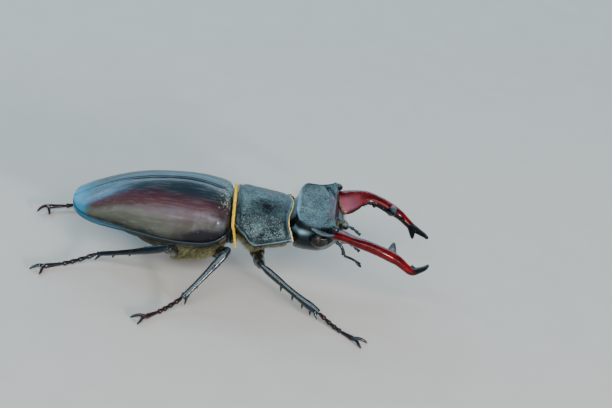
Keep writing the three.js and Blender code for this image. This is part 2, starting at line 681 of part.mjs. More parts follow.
function tibia(pair, { knee, ankle }) {
  const forward = vec(ankle).sub(vec(knee)).normalize();
  const down = UP.clone().negate();
  const outer = down.addScaledVector(forward, -down.dot(forward)).normalize();
  const spike = (place, { out, along, radius }) => {
    const root = between(knee, ankle, place);
    const point = root.clone().addScaledVector(outer, out).addScaledVector(forward, along);
    return thorn(root.toArray(), point.toArray(), radius, 3);
  };
  const spine = { ...SPINE, out: SPINE.out[pair] };
  const spines = SPINES[pair].map((place) => spike(place, spine));
  return joined(limb(knee, ankle, { ...TIBIA, ...SHINS[pair] }), ...spines, spike(SPUR.place, SPUR));
}

// Five joints of the foot, the last one long: each is thin at its root and thick at its end.
const TARSUS_JOINTS = [0, 0.15, 0.18, 0.31, 0.34, 0.46, 0.49, 0.6, 0.63, 1];
const TARSUS = { offAnkle: 0.35, sag: 0.5, root: 0.34, end: 0.52, lowest: 0.38 };

function foot(ankle, toe) {
  const end = vec(toe);
  const start = vec(ankle);
  start.addScaledVector(end.clone().sub(start).normalize(), TARSUS.offAnkle);
  const stations = TARSUS_JOINTS.map((t, i) => {
    const at = start.clone().lerp(end, t);
    at.z = Math.max(at.z - TARSUS.sag * 4 * t * (1 - t), TARSUS.lowest);
    const thick = i % 2 ? TARSUS.end : TARSUS.root;
    return { at: at.toArray(), wide: thick, high: thick };
  });
  return sweep(stations, { sides: 5, steps: TARSUS_JOINTS.length - 1 });
}

// A hooked claw, whose point meets the floor. Hand is 1 for the claw on the left of the foot.
function claw(toe, heading, hand) {
  const turn = THREE.MathUtils.degToRad(heading);
  const ahead = new THREE.Vector3(Math.cos(turn), Math.sin(turn), 0).multiplyScalar(CLAW_LENGTH);
  const aside = new THREE.Vector3(-Math.sin(turn), Math.cos(turn), 0).multiplyScalar(hand);
  const station = (reach, spread, z, thick) => {
    const at = vec(toe).addScaledVector(ahead, reach).addScaledVector(aside, spread).setZ(z);
    return { at: at.toArray(), wide: thick, high: thick };
  };
  const stations = [
    station(-0.1, 0.1, toe[2], 0.33),
    station(0.3, 0.55, toe[2] + 0.15, 0.31),
    station(0.6, 1.1, toe[2] - 0.1, 0.28),
    station(0.8, 1.3, 0.2, 0.25),
  ];
  return sweep(stations, { sides: 4, steps: 3 });
}

function tarsus({ ankle, toe, heading }) {
  const floor = new THREE.BoxGeometry(80, 80, 4).translate(toe[0], toe[1], -2);
  return cut(joined(foot(ankle, toe), claw(toe, heading, -1), claw(toe, heading, 1)), floor);
}

const hips = Object.values(LEGS).flatMap((leg) => [coxa(leg, GAP), femur(leg, GAP)]);
const inStance = (geometry) => {
  const placed = geometry.clone();
  placed.rotateY(THREE.MathUtils.degToRad(-BODY_PITCH)).translate(0, 0, WAIST_HEIGHT);
  return placed;
};

add(stance, "metathorax", cut(inStance(metathorax), ...hips), UNDERSIDE);
add(stance, "abdomen", cut(inStance(abdomen), ...hips), UNDERSIDE);
add(trunk, "waist", waist(), CUTICLE);
add(trunk, "pronotum", pronotum(), CUTICLE);
add(stance, "prosternum", cut(inStance(prosternum()), ...hips), UNDERSIDE);

add(head, "head", inHead(capsule()), CUTICLE);
add(head, "labrum", inHead(labrum()), CUTICLE);
for (const side of ["left", "right"]) {
  const onSide = (geometry) => (side === "left" ? inHead(geometry) : mirrored(inHead(geometry)));
  const { scape, club } = FEELERS[side];
  add(head, `mandible_${side}`, onSide(mandible()), JAW);
  add(head, `eye_${side}`, onSide(ellipsoid(EYE_CENTRE, EYE_RADII, 10)), EYE);
  add(head, `antenna_scape_${side}`, onSide(sweep(scape, { sides: 6, steps: 4 })), LEG);
  add(head, `antenna_club_${side}`, onSide(sweep(club, { sides: 6, steps: 5 })), LEG);
  add(head, `palp_${side}`, onSide(sweep(PALP, { sides: 6, steps: 4 })), LEG);
}

for (const [name, leg] of Object.entries(LEGS)) {
  const [pair] = name.split("_");
  add(stance, `coxa_${name}`, coxa(leg, 0), LEG);
  add(stance, `femur_${name}`, femur(leg, 0), LEG);
  add(stance, `tibia_${name}`, tibia(pair, leg), LEG);
  add(stance, `tarsus_${name}`, tarsus(leg), FOOT);
}

export default beetle;
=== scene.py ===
# A male stag beetle at life size: the finish of every plate, limb and hair over its solid frame.
# Lengths are millimetres until a piece is placed, and colours are sRGB hex.
import math

import bmesh
import bpy
import numpy as np
from mathutils import Matrix, Vector


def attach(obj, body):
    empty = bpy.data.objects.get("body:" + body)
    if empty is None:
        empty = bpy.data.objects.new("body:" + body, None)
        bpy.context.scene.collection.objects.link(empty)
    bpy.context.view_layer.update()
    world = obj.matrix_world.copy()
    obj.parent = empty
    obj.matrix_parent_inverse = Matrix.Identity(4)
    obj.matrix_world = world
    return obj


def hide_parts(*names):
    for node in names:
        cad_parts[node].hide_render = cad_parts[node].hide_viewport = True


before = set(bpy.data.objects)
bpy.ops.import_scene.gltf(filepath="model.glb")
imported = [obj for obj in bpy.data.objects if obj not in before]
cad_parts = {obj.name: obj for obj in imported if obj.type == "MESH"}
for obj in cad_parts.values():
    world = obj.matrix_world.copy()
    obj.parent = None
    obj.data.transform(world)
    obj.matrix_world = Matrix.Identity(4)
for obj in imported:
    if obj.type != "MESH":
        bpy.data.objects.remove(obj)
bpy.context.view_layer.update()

# ---------------------------------------------------------------- the beetle's stance
# The trunk is pitched nose-up on its legs and the head is turned a little on the neck, so plates are
# measured in the trunk, the head's parts in the head, and the legs from the floor under the waist.
MM = 0.001
BODY_PITCH = math.radians(3.5)
HEAD_YAW = math.radians(-2.3)
WAIST_HEIGHT = 9.7
UNDER_MIDDLE = np.array([-1.0, -2.35, 0.0])
NECK = np.array([12.5, 0.0, 3.0])


def in_stance(points):
    """Places over the floor under the waist, in the frame's metres."""
    return (np.asarray(points, float) + UNDER_MIDDLE) * MM


def in_trunk(points):
    """Places in the pitched trunk, in the frame's metres."""
    x, y, z = np.moveaxis(np.asarray(points, float), -1, 0)
    c, s = math.cos(BODY_PITCH), math.sin(BODY_PITCH)
    return in_stance(np.stack([x * c - z * s, y, x * s + z * c + WAIST_HEIGHT], -1))


def in_head(points):
    """Places in the turned head, in the frame's metres."""
    x, y, z = np.moveaxis(np.asarray(points, float) - NECK, -1, 0)
    c, s = math.cos(HEAD_YAW), math.sin(HEAD_YAW)
    return in_trunk(np.stack([x * c - y * s, x * s + y * c, z], -1) + NECK)


# ---------------------------------------------------------------- camera, floor and light
# A long lens looks down on the beetle's right side, rolled as the animal climbs. The floor is plain
# matt card, under a broad pale sky behind, a small blue one at the left, a soft window over the
# camera and a small low lamp at its right.
IMAGE_WIDTH, IMAGE_HEIGHT = 612, 408
LENS, SENSOR = 100, 36
CAMERA_AZIMUTH, CAMERA_ELEVATION, CAMERA_ROLL = (math.radians(a) for a in (-4.5, 28.0, 11.3))
CAMERA_DISTANCE = 333
AIM = np.array([0.0, 0.0, WAIST_HEIGHT])  # the waist
AIM_PIXEL = (229.0, 218.1)


def camera_axes(azimuth, elevation, roll):
    """The camera's right, up and backward directions."""
    back = np.array([
        math.sin(azimuth) * math.cos(elevation),
        -math.cos(azimuth) * math.cos(elevation),
        math.sin(elevation),
    ])
    level = np.array([math.cos(azimuth), math.sin(azimuth), 0.0])
    rise = np.cross(back, level)
    right = math.cos(roll) * level + math.sin(roll) * rise
    return right, np.cross(back, right), back


right, up, back = camera_axes(CAMERA_AZIMUTH, CAMERA_ELEVATION, CAMERA_ROLL)
mm_per_pixel = CAMERA_DISTANCE * SENSOR / LENS / IMAGE_WIDTH
across = (AIM_PIXEL[0] - IMAGE_WIDTH / 2) * mm_per_pixel
down = (AIM_PIXEL[1] - IMAGE_HEIGHT / 2) * mm_per_pixel
camera_place = in_stance(AIM - right * across + up * down + back * CAMERA_DISTANCE)
camera_data = bpy.data.cameras.new("camera")
camera_data.lens = LENS
camera_data.sensor_width = SENSOR
camera_data.clip_start = 0.01
camera = bpy.data.objects.new("camera", camera_data)
turned = Matrix(np.stack([right, up, back], 1).tolist()).to_4x4()
camera.matrix_world = Matrix.Translation(camera_place.tolist()) @ turned
bpy.context.scene.collection.objects.link(camera)
bpy.context.scene.camera = camera


def linear(hex_colour):
    """An sRGB hex colour as linear red, green, blue and alpha."""
    parts = [int(hex_colour[i:i + 2], 16) / 255 for i in (1, 3, 5)]
    return [c / 12.92 if c <= 0.04045 else ((c + 0.055) / 1.055) ** 2.4 for c in parts] + [1.0]


def light(name, place, size, watts, colour):
    """A rectangle that shines on the beetle's waist; its place and size are in metres."""
    data = bpy.data.lights.new(name, "AREA")
    data.shape = "RECTANGLE"
    data.size, data.size_y = size
    data.energy = watts
    data.color = linear(colour)[:3]
    lamp = bpy.data.objects.new(name, data)
    away = Vector(place) - Vector(in_stance(AIM))
    lamp.rotation_euler = away.to_track_quat("Z", "Y").to_euler()
    lamp.location = place
    bpy.context.scene.collection.objects.link(lamp)


light("sky_behind", (-0.05, 0.57, 0.24), (1.2, 0.34), 3.6, "#9ad4ec")
light("strip_behind", (0.0, 0.6, 0.46), (1.2, 0.03), 1.3, "#f4f9ff")
light("sky_left", (-0.42, 0.33, 0.4), (0.2, 0.2), 1.3, "#74c6f0")
light("window_front", (0.0, -0.52, 0.5), (1.0, 0.35), 6.0, "#fbfaf4")
light("low_side", (0.39, -0.53, 0.16), (0.1, 0.08), 3.8, "#fff2f0")

world = bpy.data.worlds.new("studio")
bpy.context.scene.world = world
world.use_nodes = True
world.node_tree.nodes["Background"].inputs["Color"].default_value = linear("#c9d6e2")
world.node_tree.nodes["Background"].inputs["Strength"].default_value = 0.3


def add(material, kind, inputs=(), output=0, stops=(), **settings):
    """Adds a node, sets or links its inputs by number or name, and gives one of its outputs."""
    node = material.node_tree.nodes.new("ShaderNode" + kind)
    for name, value in settings.items():
        setattr(node, name, value)
    if stops:
        elements = node.color_ramp.elements
        while len(elements) < len(stops):
            elements.new(1.0)
        for element, (place, colour) in zip(elements, stops):
            element.position = place
            element.color = linear(colour)
    named = inputs if isinstance(inputs, dict) else dict(enumerate(inputs))
    for socket, value in named.items():
        if isinstance(value, bpy.types.NodeSocket):
            material.node_tree.links.new(value, node.inputs[socket])
        else:
            node.inputs[socket].default_value = linear(value) if isinstance(value, str) else value
    return node.outputs[output]


def finish(name, **sockets):
    """A new material, with values on its shader's own sockets, and where a point lies on the piece."""
    material = bpy.data.materials.new(name)
    material.use_nodes = True
    shader = material.node_tree.nodes["Principled BSDF"]
    for socket, value in sockets.items():
        shader.inputs[socket.replace("_", " ")].default_value = value
    return material, add(material, "TexCoord", output="Object")


def paint(material, socket, value):
    """Links a value to one of the shader's sockets."""
    shader = material.node_tree.nodes["Principled BSDF"]
    material.node_tree.links.new(value, shader.inputs[socket])


def per_mm(spacing):
    """The texture scale that repeats every so many millimetres."""
    return 1 / (spacing * MM)


FLOOR_RADIUS = 4000
FLOOR_SIDES = 64
# Uncoated card: matt and even, so the eye reads only a faint cloudiness and soft shadows.
card, where = finish("matt_card", Roughness=0.85)
cloud = add(card, "TexNoise", {"Vector": where, "Scale": per_mm(9), "Detail": 6.0, "Roughness": 0.6})
paint(card, "Base Color", add(card, "ValToRGB", [cloud], stops=[(0.3, "#c6c3be"), (0.7, "#cac7c2")]))
floor_mesh = bpy.data.meshes.new("floor")
floor_turns = np.linspace(0, 2 * math.pi, FLOOR_SIDES, endpoint=False)
floor_edge = np.stack([np.cos(floor_turns), np.sin(floor_turns), 0 * floor_turns], -1)
floor_mesh.from_pydata((floor_edge * FLOOR_RADIUS * MM).tolist(), [], [tuple(range(FLOOR_SIDES))])
floor_mesh.materials.append(card)
floor = bpy.data.objects.new("floor", floor_mesh)
bpy.context.scene.collection.objects.link(floor)

# ---------------------------------------------------------------- breast and belly
# The hard underside of the body: the breast carries the middle and hind legs, and the belly is five
# overlapping plates. Dark chitin under short down, and the wing cases close over it.
ELYTRA_FRONT = 0.2
ELYTRA_LENGTH = 30.7
ELYTRA_HALF_WIDTH = 10.3
ELYTRA_TAPER = 3.5
SHELL = 1.0
BACK_CLEARANCE = 0.75
MARGIN_LIP = 0.35
JOINT_BEHIND_HIND_LEGS = 0.33
BODY_COLUMNS = 40  # points on a quarter of a section


def through(pairs):
    """A smooth value through (place, value) pairs, with no overshoot between them."""
    x, y = np.array(pairs, float).T
    slope = np.diff(y) / np.diff(x)
    before = np.r_[slope[0], slope]
    after = np.r_[slope, slope[-1]]
    alike = before * after > 0
    tangent = np.where(alike, 2 * before * after / np.where(alike, before + after, 1.0), 0.0)

    def value(place):
        q = np.clip(place, x[0], x[-1])
        i = np.clip(np.searchsorted(x, q, side="right") - 1, 0, len(x) - 2)
        step = x[i + 1] - x[i]
        t = (q - x[i]) / step
        rise = y[i] * (1 + 2 * t) * (1 - t) ** 2 + y[i + 1] * t * t * (3 - 2 * t)
        return rise + step * t * (1 - t) * (tangent[i] * (1 - t) - tangent[i + 1] * t)

    return value


elytra_front = through([(0, 0.8), (0.02, 0.86), (0.1, 0.962), (0.2, 0.992), (0.3, 1), (1, 1)])
elytra_rear = through([
    (0, 1), (0.65, 1), (0.75, 1.04), (0.85, 1.15), (0.92, 1.28), (0.97, 1.43), (1, 1.5),
])
elytra_margin = through([
    (0, 1.3), (0.03, 0.5), (0.09, -0.4), (0.16, -0.85), (0.28, -0.95), (0.4, -0.75),
    (0.56, -0.15), (0.8, 0.3), (1, 1),
])
elytra_suture = through([
    (0, 5.9), (0.05, 6.6), (0.12, 7.2), (0.2, 7.75), (0.29, 8.0), (0.45, 7.7), (0.61, 6.85),
    (0.73, 5.7), (0.85, 4.0), (0.91, 3.05), (0.96, 2.2), (1, 1.6),
])
elytra_fall = through([
    (0, 0.78), (0.12, 0.8), (0.3, 1), (0.45, 0.97), (0.6, 0.89), (0.7, 0.84), (0.9, 0.8), (1, 0.8),
])
margin_width = through([(0, 0.5), (0.4, 0.7), (0.8, 1.2), (0.95, 0.9), (1, 0.3)])
belly_width = through([
    (0, 7.6), (0.05, 8.2), (0.2, 9.1), (0.36, 9.1), (0.5, 8.2), (0.65, 6.4), (0.8, 4.6), (0.93, 2.2),
])
belly_depth = through([
    (0, 3.4), (0.08, 4.4), (0.2, 5.2), (0.3, 5.3), (0.42, 4.2), (0.6, 2.9), (0.8, 1.9), (0.93, 1.0),
])
belly_squareness = through([(0, 2.6), (0.3, 2.8), (0.5, 2.3), (0.9, 2)])


def elytra_width(s):
    return ELYTRA_HALF_WIDTH * elytra_front(s) * elytra_rear(s) * np.sqrt(1 - s ** ELYTRA_TAPER)


def vault(s, turn, inset):
    """A place under or on the wing case: turn 0 is the suture and a quarter turn its foot."""
    foot = elytra_margin(s) + 0.15
    rise = np.maximum(elytra_suture(s) - foot, 0.2)
    y = np.maximum((elytra_width(s) - margin_width(s) - inset) * np.sin(turn), 0)
    z = foot + np.maximum(rise - inset, 0.05) * np.maximum(np.cos(turn), 0) ** elytra_fall(s)
    return np.stack([ELYTRA_FRONT - ELYTRA_LENGTH * s + 0 * y, y, z], -1)


def under_body(start, end, rows):
    """Rings of half a section above and below, mirrored, from start to end along the wing cases."""
    rings = []
    quarter = np.linspace(0, math.pi / 2, BODY_COLUMNS)
    for s in np.linspace(start, end, rows):
        roof = vault(s, quarter, SHELL + BACK_CLEARANCE)
        roof[:, 2] -= MARGIN_LIP
        roof[:, 1] = np.minimum(roof[:, 1], belly_width(s))
        power = 2 / belly_squareness(s)
        y = belly_width(s) * np.cos(quarter) ** power
        z = elytra_margin(s) - BACK_CLEARANCE - belly_depth(s) * np.sin(quarter) ** power
        keel = np.stack([0 * y + ELYTRA_FRONT - ELYTRA_LENGTH * s, y, z], -1)
        half = np.concatenate([roof, keel[1:]])
        half[-1, 1] = 0
        rings.append(np.concatenate([half, half[-2:0:-1] * (1, -1, 1)]))
    return np.array(rings)


def normals(rings):
    """Outward directions on rings of points."""
    round_ring = np.roll(rings, -1, 1) - np.roll(rings, 1, 1)
    along = np.gradient(rings, axis=0)
    out = np.cross(along, round_ring)
    out /= np.maximum(np.linalg.norm(out, axis=-1, keepdims=True), 1e-9)
    outwards = np.sum(out * (rings - rings.mean(1, keepdims=True)))
    return out if outwards > 0 else -out


def skin(rings):
    """One closed surface over rings of points, each end closed to its middle."""
    rows, columns, _ = rings.shape
    points = np.concatenate([rings.reshape(-1, 3), rings[[0, -1]].mean(1)])
    start = np.arange(rows - 1)[:, None] * columns
    k = np.arange(columns)[None, :]
    beside = (k + 1) % columns
    sides = np.stack([start + k, start + beside, start + beside + columns, start + k + columns], -1)
    faces = sides.reshape(-1, 4).tolist()
    last = (rows - 1) * columns
    for i in range(columns):
        j = (i + 1) % columns
        faces.append([j, i, rows * columns])
        faces.append([last + i, last + j, rows * columns + 1])
    return points, faces


def together(*parts):
    """Several surfaces as one list of points and one of faces."""
    points, faces, count = [], [], 0
    for part_points, part_faces in parts:
        points.append(part_points)
        faces.extend([[i + count for i in face] for face in part_faces])
        count += len(part_points)
    return np.concatenate(points), faces


def build(name, surface, place, material, **marks):
    """A smooth-shaded object in metres, with named values kept on its points."""
    points, faces = surface
    mesh = bpy.data.meshes.new(name)
    mesh.from_pydata(place(points).tolist(), [], faces)
    shape = bmesh.new()
    shape.from_mesh(mesh)
    bmesh.ops.recalc_face_normals(shape, faces=shape.faces)
    shape.to_mesh(mesh)
    shape.free()
    mesh.shade_smooth()
    mesh.materials.append(material)
    for mark, values in marks.items():
        full = np.zeros(len(points), np.float32)
        full[:len(values)] = values
        mesh.attributes.new(mark, "FLOAT", "POINT").data.foreach_set("value", full)
    piece = bpy.data.objects.new(name, mesh)
    bpy.context.scene.collection.objects.link(piece)
    return piece


# Sclerotised chitin of the underside: dark olive brown, dull, finely punctured where the down grows.
underside, where = finish("underside_chitin", Roughness=0.5, Specular_IOR_Level=0.45)
cloud = add(
    underside, "TexNoise", {"Vector": where, "Scale": per_mm(1.6), "Detail": 5.0, "Roughness": 0.6},
)
tone = add(underside, "ValToRGB", [cloud], stops=[(0.25, "#11100b"), (0.5, "#242116"), (0.75, "#45412a")])
pits = add(underside, "TexVoronoi", {"Vector": where, "Scale": per_mm(0.22)})
paint(underside, "Base Color", tone)
relief = add(underside, "Bump", {"Strength": 0.6, "Distance": 0.04 * MM, "Height": pits})
paint(underside, "Normal", relief)

BELLY_PLATES = 5
BELLY_TIP = 0.925
BELLY_ROWS = 140
BREAST_ROWS = 60
breast_rings = under_body(0.01, JOINT_BEHIND_HIND_LEGS, BREAST_ROWS)
groove = np.exp(-(breast_rings[..., 1] / 0.35) ** 2) * (breast_rings[..., 2] < -2)
breast_rings = breast_rings - normals(breast_rings) * (0.25 * groove)[..., None]
breast = build("breast", skin(breast_rings), in_trunk, underside)
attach(breast, "root")
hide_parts("metathorax")

belly_rings = under_body(JOINT_BEHIND_HIND_LEGS, BELLY_TIP, BELLY_ROWS)
plate = np.linspace(0, BELLY_PLATES, BELLY_ROWS)[:, None] % 1
swell = 0.28 * np.sin(math.pi * plate) ** 0.5 - 0.12
belly_rings = belly_rings + normals(belly_rings) * swell[..., None]
belly = build("belly", skin(belly_rings), in_trunk, underside)
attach(belly, "root")
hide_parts("abdomen")

# ---------------------------------------------------------------- wing cases
# Two hardened fore wings that meet along the back. Each is a vaulted shell with a raised bead along
# its outer edge, a fine ridge at the suture and a bump at the shoulder.
SUTURE_GAP = 0.03
BEAD_HEIGHT = 0.3
SHOULDER = {
    "place": 0.075, "turn": math.radians(60), "long": 0.045, "wide": math.radians(13), "high": 0.35,
}
FRONT_ROUNDING, FRONT_DROP = 0.03, 0.8
RIDGE_AT, RIDGE_WIDE, RIDGE_HIGH = 0.25, 0.2, 0.1
GROOVE_AT, GROOVE_WIDE, GROOVE_DEEP = 0.75, 0.3, 0.07
CASE_ROWS, CASE_COLUMNS = 190, 56
CASE_END = 0.9992  # share of the length where the last ring lies, just short of the point
RIM_SECTION = [  # share of the rim's width inwards from the edge, and height in bead heights
    (0.97, -0.5), (0.88, -0.35), (0.76, 0.0), (0.62, 0.45), (0.5, 0.85), (0.38, 1.1), (0.26, 1.2),
    (0.15, 1.03), (0.06, 0.67), (0.0, 0.1), (0.0, -0.4), (0.05, -0.87), (0.2, -1.17),
]


def bump(distance, spread):
    """A round swelling: 1 at no distance, and nearly 0 at twice the spread."""
    return np.exp(-((distance / spread) ** 2))


def eased(count, share):
    """Numbers from 0 to 1 that crowd towards both ends."""
    even = np.linspace(0, 1, count)
    return share * (1 - np.cos(math.pi * even)) / 2 + (1 - share) * even


def elytron():
    """Rings of the left wing case with, for each point, its place along, round and on the rim."""
    stations = CASE_END * eased(CASE_ROWS, 0.7)
    turns = np.linspace(0, math.pi / 2, CASE_COLUMNS)
    rings, rim = [], []
    for s in stations:
        edge = max(float(elytra_width(s)), SUTURE_GAP + 0.3)
        foot = float(elytra_margin(s))
        inside = max(1 - s / FRONT_ROUNDING, 0.0)
        rounding = FRONT_DROP * (1 - math.sqrt(1 - inside ** 2))
        arc = vault(s, turns, rounding)
        ridge = RIDGE_HIGH * bump(arc[:, 1] - RIDGE_AT, RIDGE_WIDE)
        arc[:, 2] += ridge - GROOVE_DEEP * bump(arc[:, 1] - GROOVE_AT, GROOVE_WIDE)
        shoulder = SHOULDER["high"] * bump(s - SHOULDER["place"], SHOULDER["long"])
        shoulder = shoulder * bump(turns - SHOULDER["turn"], SHOULDER["wide"])
        arc[:, 1] += shoulder * np.sin(turns)
        arc[:, 2] += shoulder * np.cos(turns)
        arc[:, 1] = np.maximum(arc[:, 1], SUTURE_GAP)
        width = min(float(margin_width(s)), edge - SUTURE_GAP)
        bead = [
            (arc[0, 0], edge - share * width - rounding, foot + lift * BEAD_HEIGHT)
            for share, lift in RIM_SECTION
        ]
        inner = vault(s, turns[::-4], SHELL)
        inner[:, 1] = np.maximum(inner[:, 1], SUTURE_GAP)
        inner[:, 2] = np.maximum(inner[:, 2] - 0.3, foot - MARGIN_LIP)
        rings.append(np.concatenate([arc, bead, inner]))
        rim.append(np.r_[np.zeros(len(arc) - 1), 0.6, np.ones(len(bead)), np.ones(len(inner))])
    along = np.repeat(stations[:, None], len(rim[0]), 1)
    count = len(rim[0]) - len(turns)
    around = np.repeat(np.r_[turns / (math.pi / 2), np.ones(count)][None, :], len(stations), 0)
    return np.array(rings), along.ravel(), around.ravel(), np.array(rim).ravel()


# Tanned chitin, maroon where light goes in. The blue-black along the suture, the olive lower down and the
# blue-grey behind are painted reflections of sky and surroundings, and the near black low down is painted
# shade.
# The eye reads a long soft gloss, fine pits, a dark rim line and pale dust by the shoulder.
wing_case, where = finish(
    "wing_case_chitin", Specular_IOR_Level=0.5, Specular_Tint=linear("#b4d3ea"), Coat_Weight=0.15,
    Coat_Roughness=0.12,
)
EASED = {"interpolation_type": "SMOOTHSTEP"}
MIXED = {"output": 2, "data_type": "RGBA"}
along, around, rim = (
    add(wing_case, "Attribute", output="Fac", attribute_name=name) for name in ("along", "around", "rim")
)
clouds = add(
    wing_case, "TexNoise", {"Vector": where, "Scale": per_mm(5), "Detail": 5.0, "Roughness": 0.6},
)
wander = add(wing_case, "Math", (clouds, 0.24, -0.12), operation="MULTIPLY_ADD")
around_here = add(wing_case, "Math", (around, wander), operation="ADD")
along_here = add(wing_case, "Math", (along, wander), operation="ADD")

# The maroon lies lower on the side towards the front.
lowered = add(wing_case, "MapRange", (along, 0.5, 0.2, 0.07, 0.14), **EASED)
band = add(wing_case, "Math", (around_here, lowered), operation="SUBTRACT")
# The maroon in the middle is the chitin's own; the blue-black at the suture and the olive below are painted
# reflections, and the near black at the foot is painted shade.
tone = add(wing_case, "ValToRGB", [band], stops=[
    (0.0, "#12212b"), (0.14, "#162630"), (0.25, "#33202a"), (0.38, "#47262c"), (0.52, "#432a2c"),
    (0.63, "#48453c"), (0.78, "#474b40"), (0.95, "#1c1b16"),
])
drawn_out = add(wing_case, "Mapping", {"Vector": where, "Scale": (0.08, 1, 1)})
streaks = add(
    wing_case, "TexNoise", {"Vector": drawn_out, "Scale": per_mm(0.5), "Detail": 3.0, "Roughness": 0.6},
)
streaks = add(wing_case, "MapRange", (streaks, 0.45, 0.75, 0.0, 0.3), **EASED)
tone = add(wing_case, "Mix", {0: streaks, 6: tone, 7: "#6e6f6c"}, **MIXED)
# A painted sheen: soft pale mauve patches low on the front half, where the gloss would catch the light.
mist = add(
    wing_case, "TexNoise", {"Vector": where, "Scale": per_mm(2.6), "Detail": 3.0, "Roughness": 0.6},
)
painted_sheen = add(wing_case, "MapRange", (mist, 0.42, 0.66, 0.0, 0.45), **EASED)
painted_sheen = add(wing_case, "MapRange", (along, 0.5, 0.1, 0.0, painted_sheen), **EASED)
painted_sheen = add(wing_case, "MapRange", (around, 0.45, 0.65, 0.0, painted_sheen), **EASED)
tone = add(wing_case, "Mix", {0: painted_sheen, 6: tone, 7: "#77707a"}, **MIXED)

# Painted shade makes it near black low in front and darkens the front edge, and a painted blue reflection
# of the sky colours the tip and the rear of the otherwise dark rim.
painted_shade_low_front = add(wing_case, "MapRange", (around_here, 0.76, 0.9), **EASED)
painted_shade_low_front = add(wing_case, "MapRange", (along_here, 0.42, 0.22, 0.0, painted_shade_low_front), **EASED)
tone = add(wing_case, "Mix", {0: painted_shade_low_front, 6: tone, 7: "#110405"}, **MIXED)
# The tip's blue is a painted reflection of the sky.
tip = add(wing_case, "MapRange", (along_here, 0.84, 0.98), **EASED)
tone = add(wing_case, "Mix", {0: tip, 6: tone, 7: "#2f86ac"}, **MIXED)
# Painted shade darkens the front edge, where it turns down by the waist.
front = add(wing_case, "MapRange", (along, 0.16, 0.0), **EASED)
painted_front_shade = add(wing_case, "Math", (front, 0.7), operation="MULTIPLY")
tone = add(wing_case, "Mix", {0: painted_front_shade, 6: tone, 7: "#14140f"}, **MIXED)
# The rim is dark, and its blue towards the rear is a painted reflection of the sky.
rim_tone_and_painted_sheen = add(
    wing_case, "ValToRGB", [along], stops=[(0.0, "#161d20"), (0.6, "#192429"), (1.0, "#2f6078")],
)
tone = add(wing_case, "Mix", {0: rim, 6: tone, 7: rim_tone_and_painted_sheen}, **MIXED)

# Specks of dust, dense only by the shield.
specks = add(
    wing_case, "TexNoise", {"Vector": where, "Scale": per_mm(0.36), "Detail": 2.0, "Roughness": 0.7},
)
by_shield = add(wing_case, "MapRange", (around, 0.7, 0.35, 0.0, front), **EASED)
by_shield = add(wing_case, "Math", (by_shield, 0.2, -0.7), operation="MULTIPLY_ADD")
specks = add(wing_case, "Math", (specks, by_shield), operation="ADD")
specks = add(wing_case, "Math", (specks, 9.0), operation="MULTIPLY", use_clamp=True)
paint(wing_case, "Base Color", add(wing_case, "Mix", {0: specks, 6: tone, 7: "#8d978a"}, **MIXED))
gloss = add(wing_case, "MapRange", (around, 0.3, 0.6, 0.2, 0.3), **EASED)
gloss = add(wing_case, "Math", (clouds, 0.2, gloss), operation="MULTIPLY_ADD")
paint(wing_case, "Roughness", add(wing_case, "Math", (specks, 0.3, gloss), operation="MULTIPLY_ADD"))
pits = add(wing_case, "TexVoronoi", {"Vector": where, "Scale": per_mm(0.3)})
pits = add(wing_case, "MapRange", (pits, 0.0, 0.35), **EASED)
ripple = add(
    wing_case, "TexNoise", {"Vector": where, "Scale": per_mm(2.2), "Detail": 2.0, "Roughness": 0.6},
)
ripple = add(wing_case, "Math", (ripple, 2.0, pits), operation="MULTIPLY_ADD")
relief = add(wing_case, "Bump", {"Strength": 0.6, "Distance": 0.02 * MM, "Height": ripple})
paint(wing_case, "Normal", relief)

SIDES = [("left", 1), ("right", -1)]
case_rings, case_along, case_around, case_rim = elytron()
for side, hand in SIDES:
    case = build(
        f"wing_case_{side}", skin(case_rings * (1, hand, 1)), in_trunk, wing_case,
        along=case_along, around=case_around, rim=case_rim,
    )
    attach(case, "root")
    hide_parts(f"elytron_{side}")

# ---------------------------------------------------------------- shield between the wing cases
# A small heart-shaped plate of the same dull black chitin as the fore body, crowned in the middle,
# which fills the notch where the two wing cases start.
SCUTELLUM = {"length": 2.6, "half": 1.7, "front": 0.3, "thick": 1.2, "height": 4.75}
SCUTELLUM_SLOPE = 0.28
SCUTELLUM_SECTION = [
    (0.9, 0), (1, 0.15), (1, 0.95), (0.96, 1.12), (0.88, 1.2), (0.7, 1.27), (0.45, 1.33), (0.2, 1.36),
]

# Grained black chitin of the fore body, head and shield: every grain is a polished bead about 0.2 mm
# across with grey dust round it, so the eye reads a dense blue-grey sparkle with dark bare patches.
cuticle, where = finish("grained_chitin", Specular_IOR_Level=0.42, Specular_Tint=linear("#bcdcf0"))
polish, blush, worn = (
    add(cuticle, "Attribute", output="Fac", attribute_name=name) for name in ("polish", "blush", "worn")
)
cloud = add(
    cuticle, "TexNoise", {"Vector": where, "Scale": per_mm(2.4), "Detail": 5.0, "Roughness": 0.65},
)
tone = add(cuticle, "ValToRGB", [cloud], stops=[(0.38, "#080e10"), (0.5, "#243436"), (0.62, "#4a5f5f")])
dust = add(cuticle, "TexNoise", {"Vector": where, "Scale": per_mm(0.26), "Detail": 2.0, "Roughness": 0.7})
dust = add(cuticle, "MapRange", (dust, 0.46, 0.72, 0.0, 0.7), **EASED)
dust = add(cuticle, "Math", (dust, polish), operation="SUBTRACT", use_clamp=True)
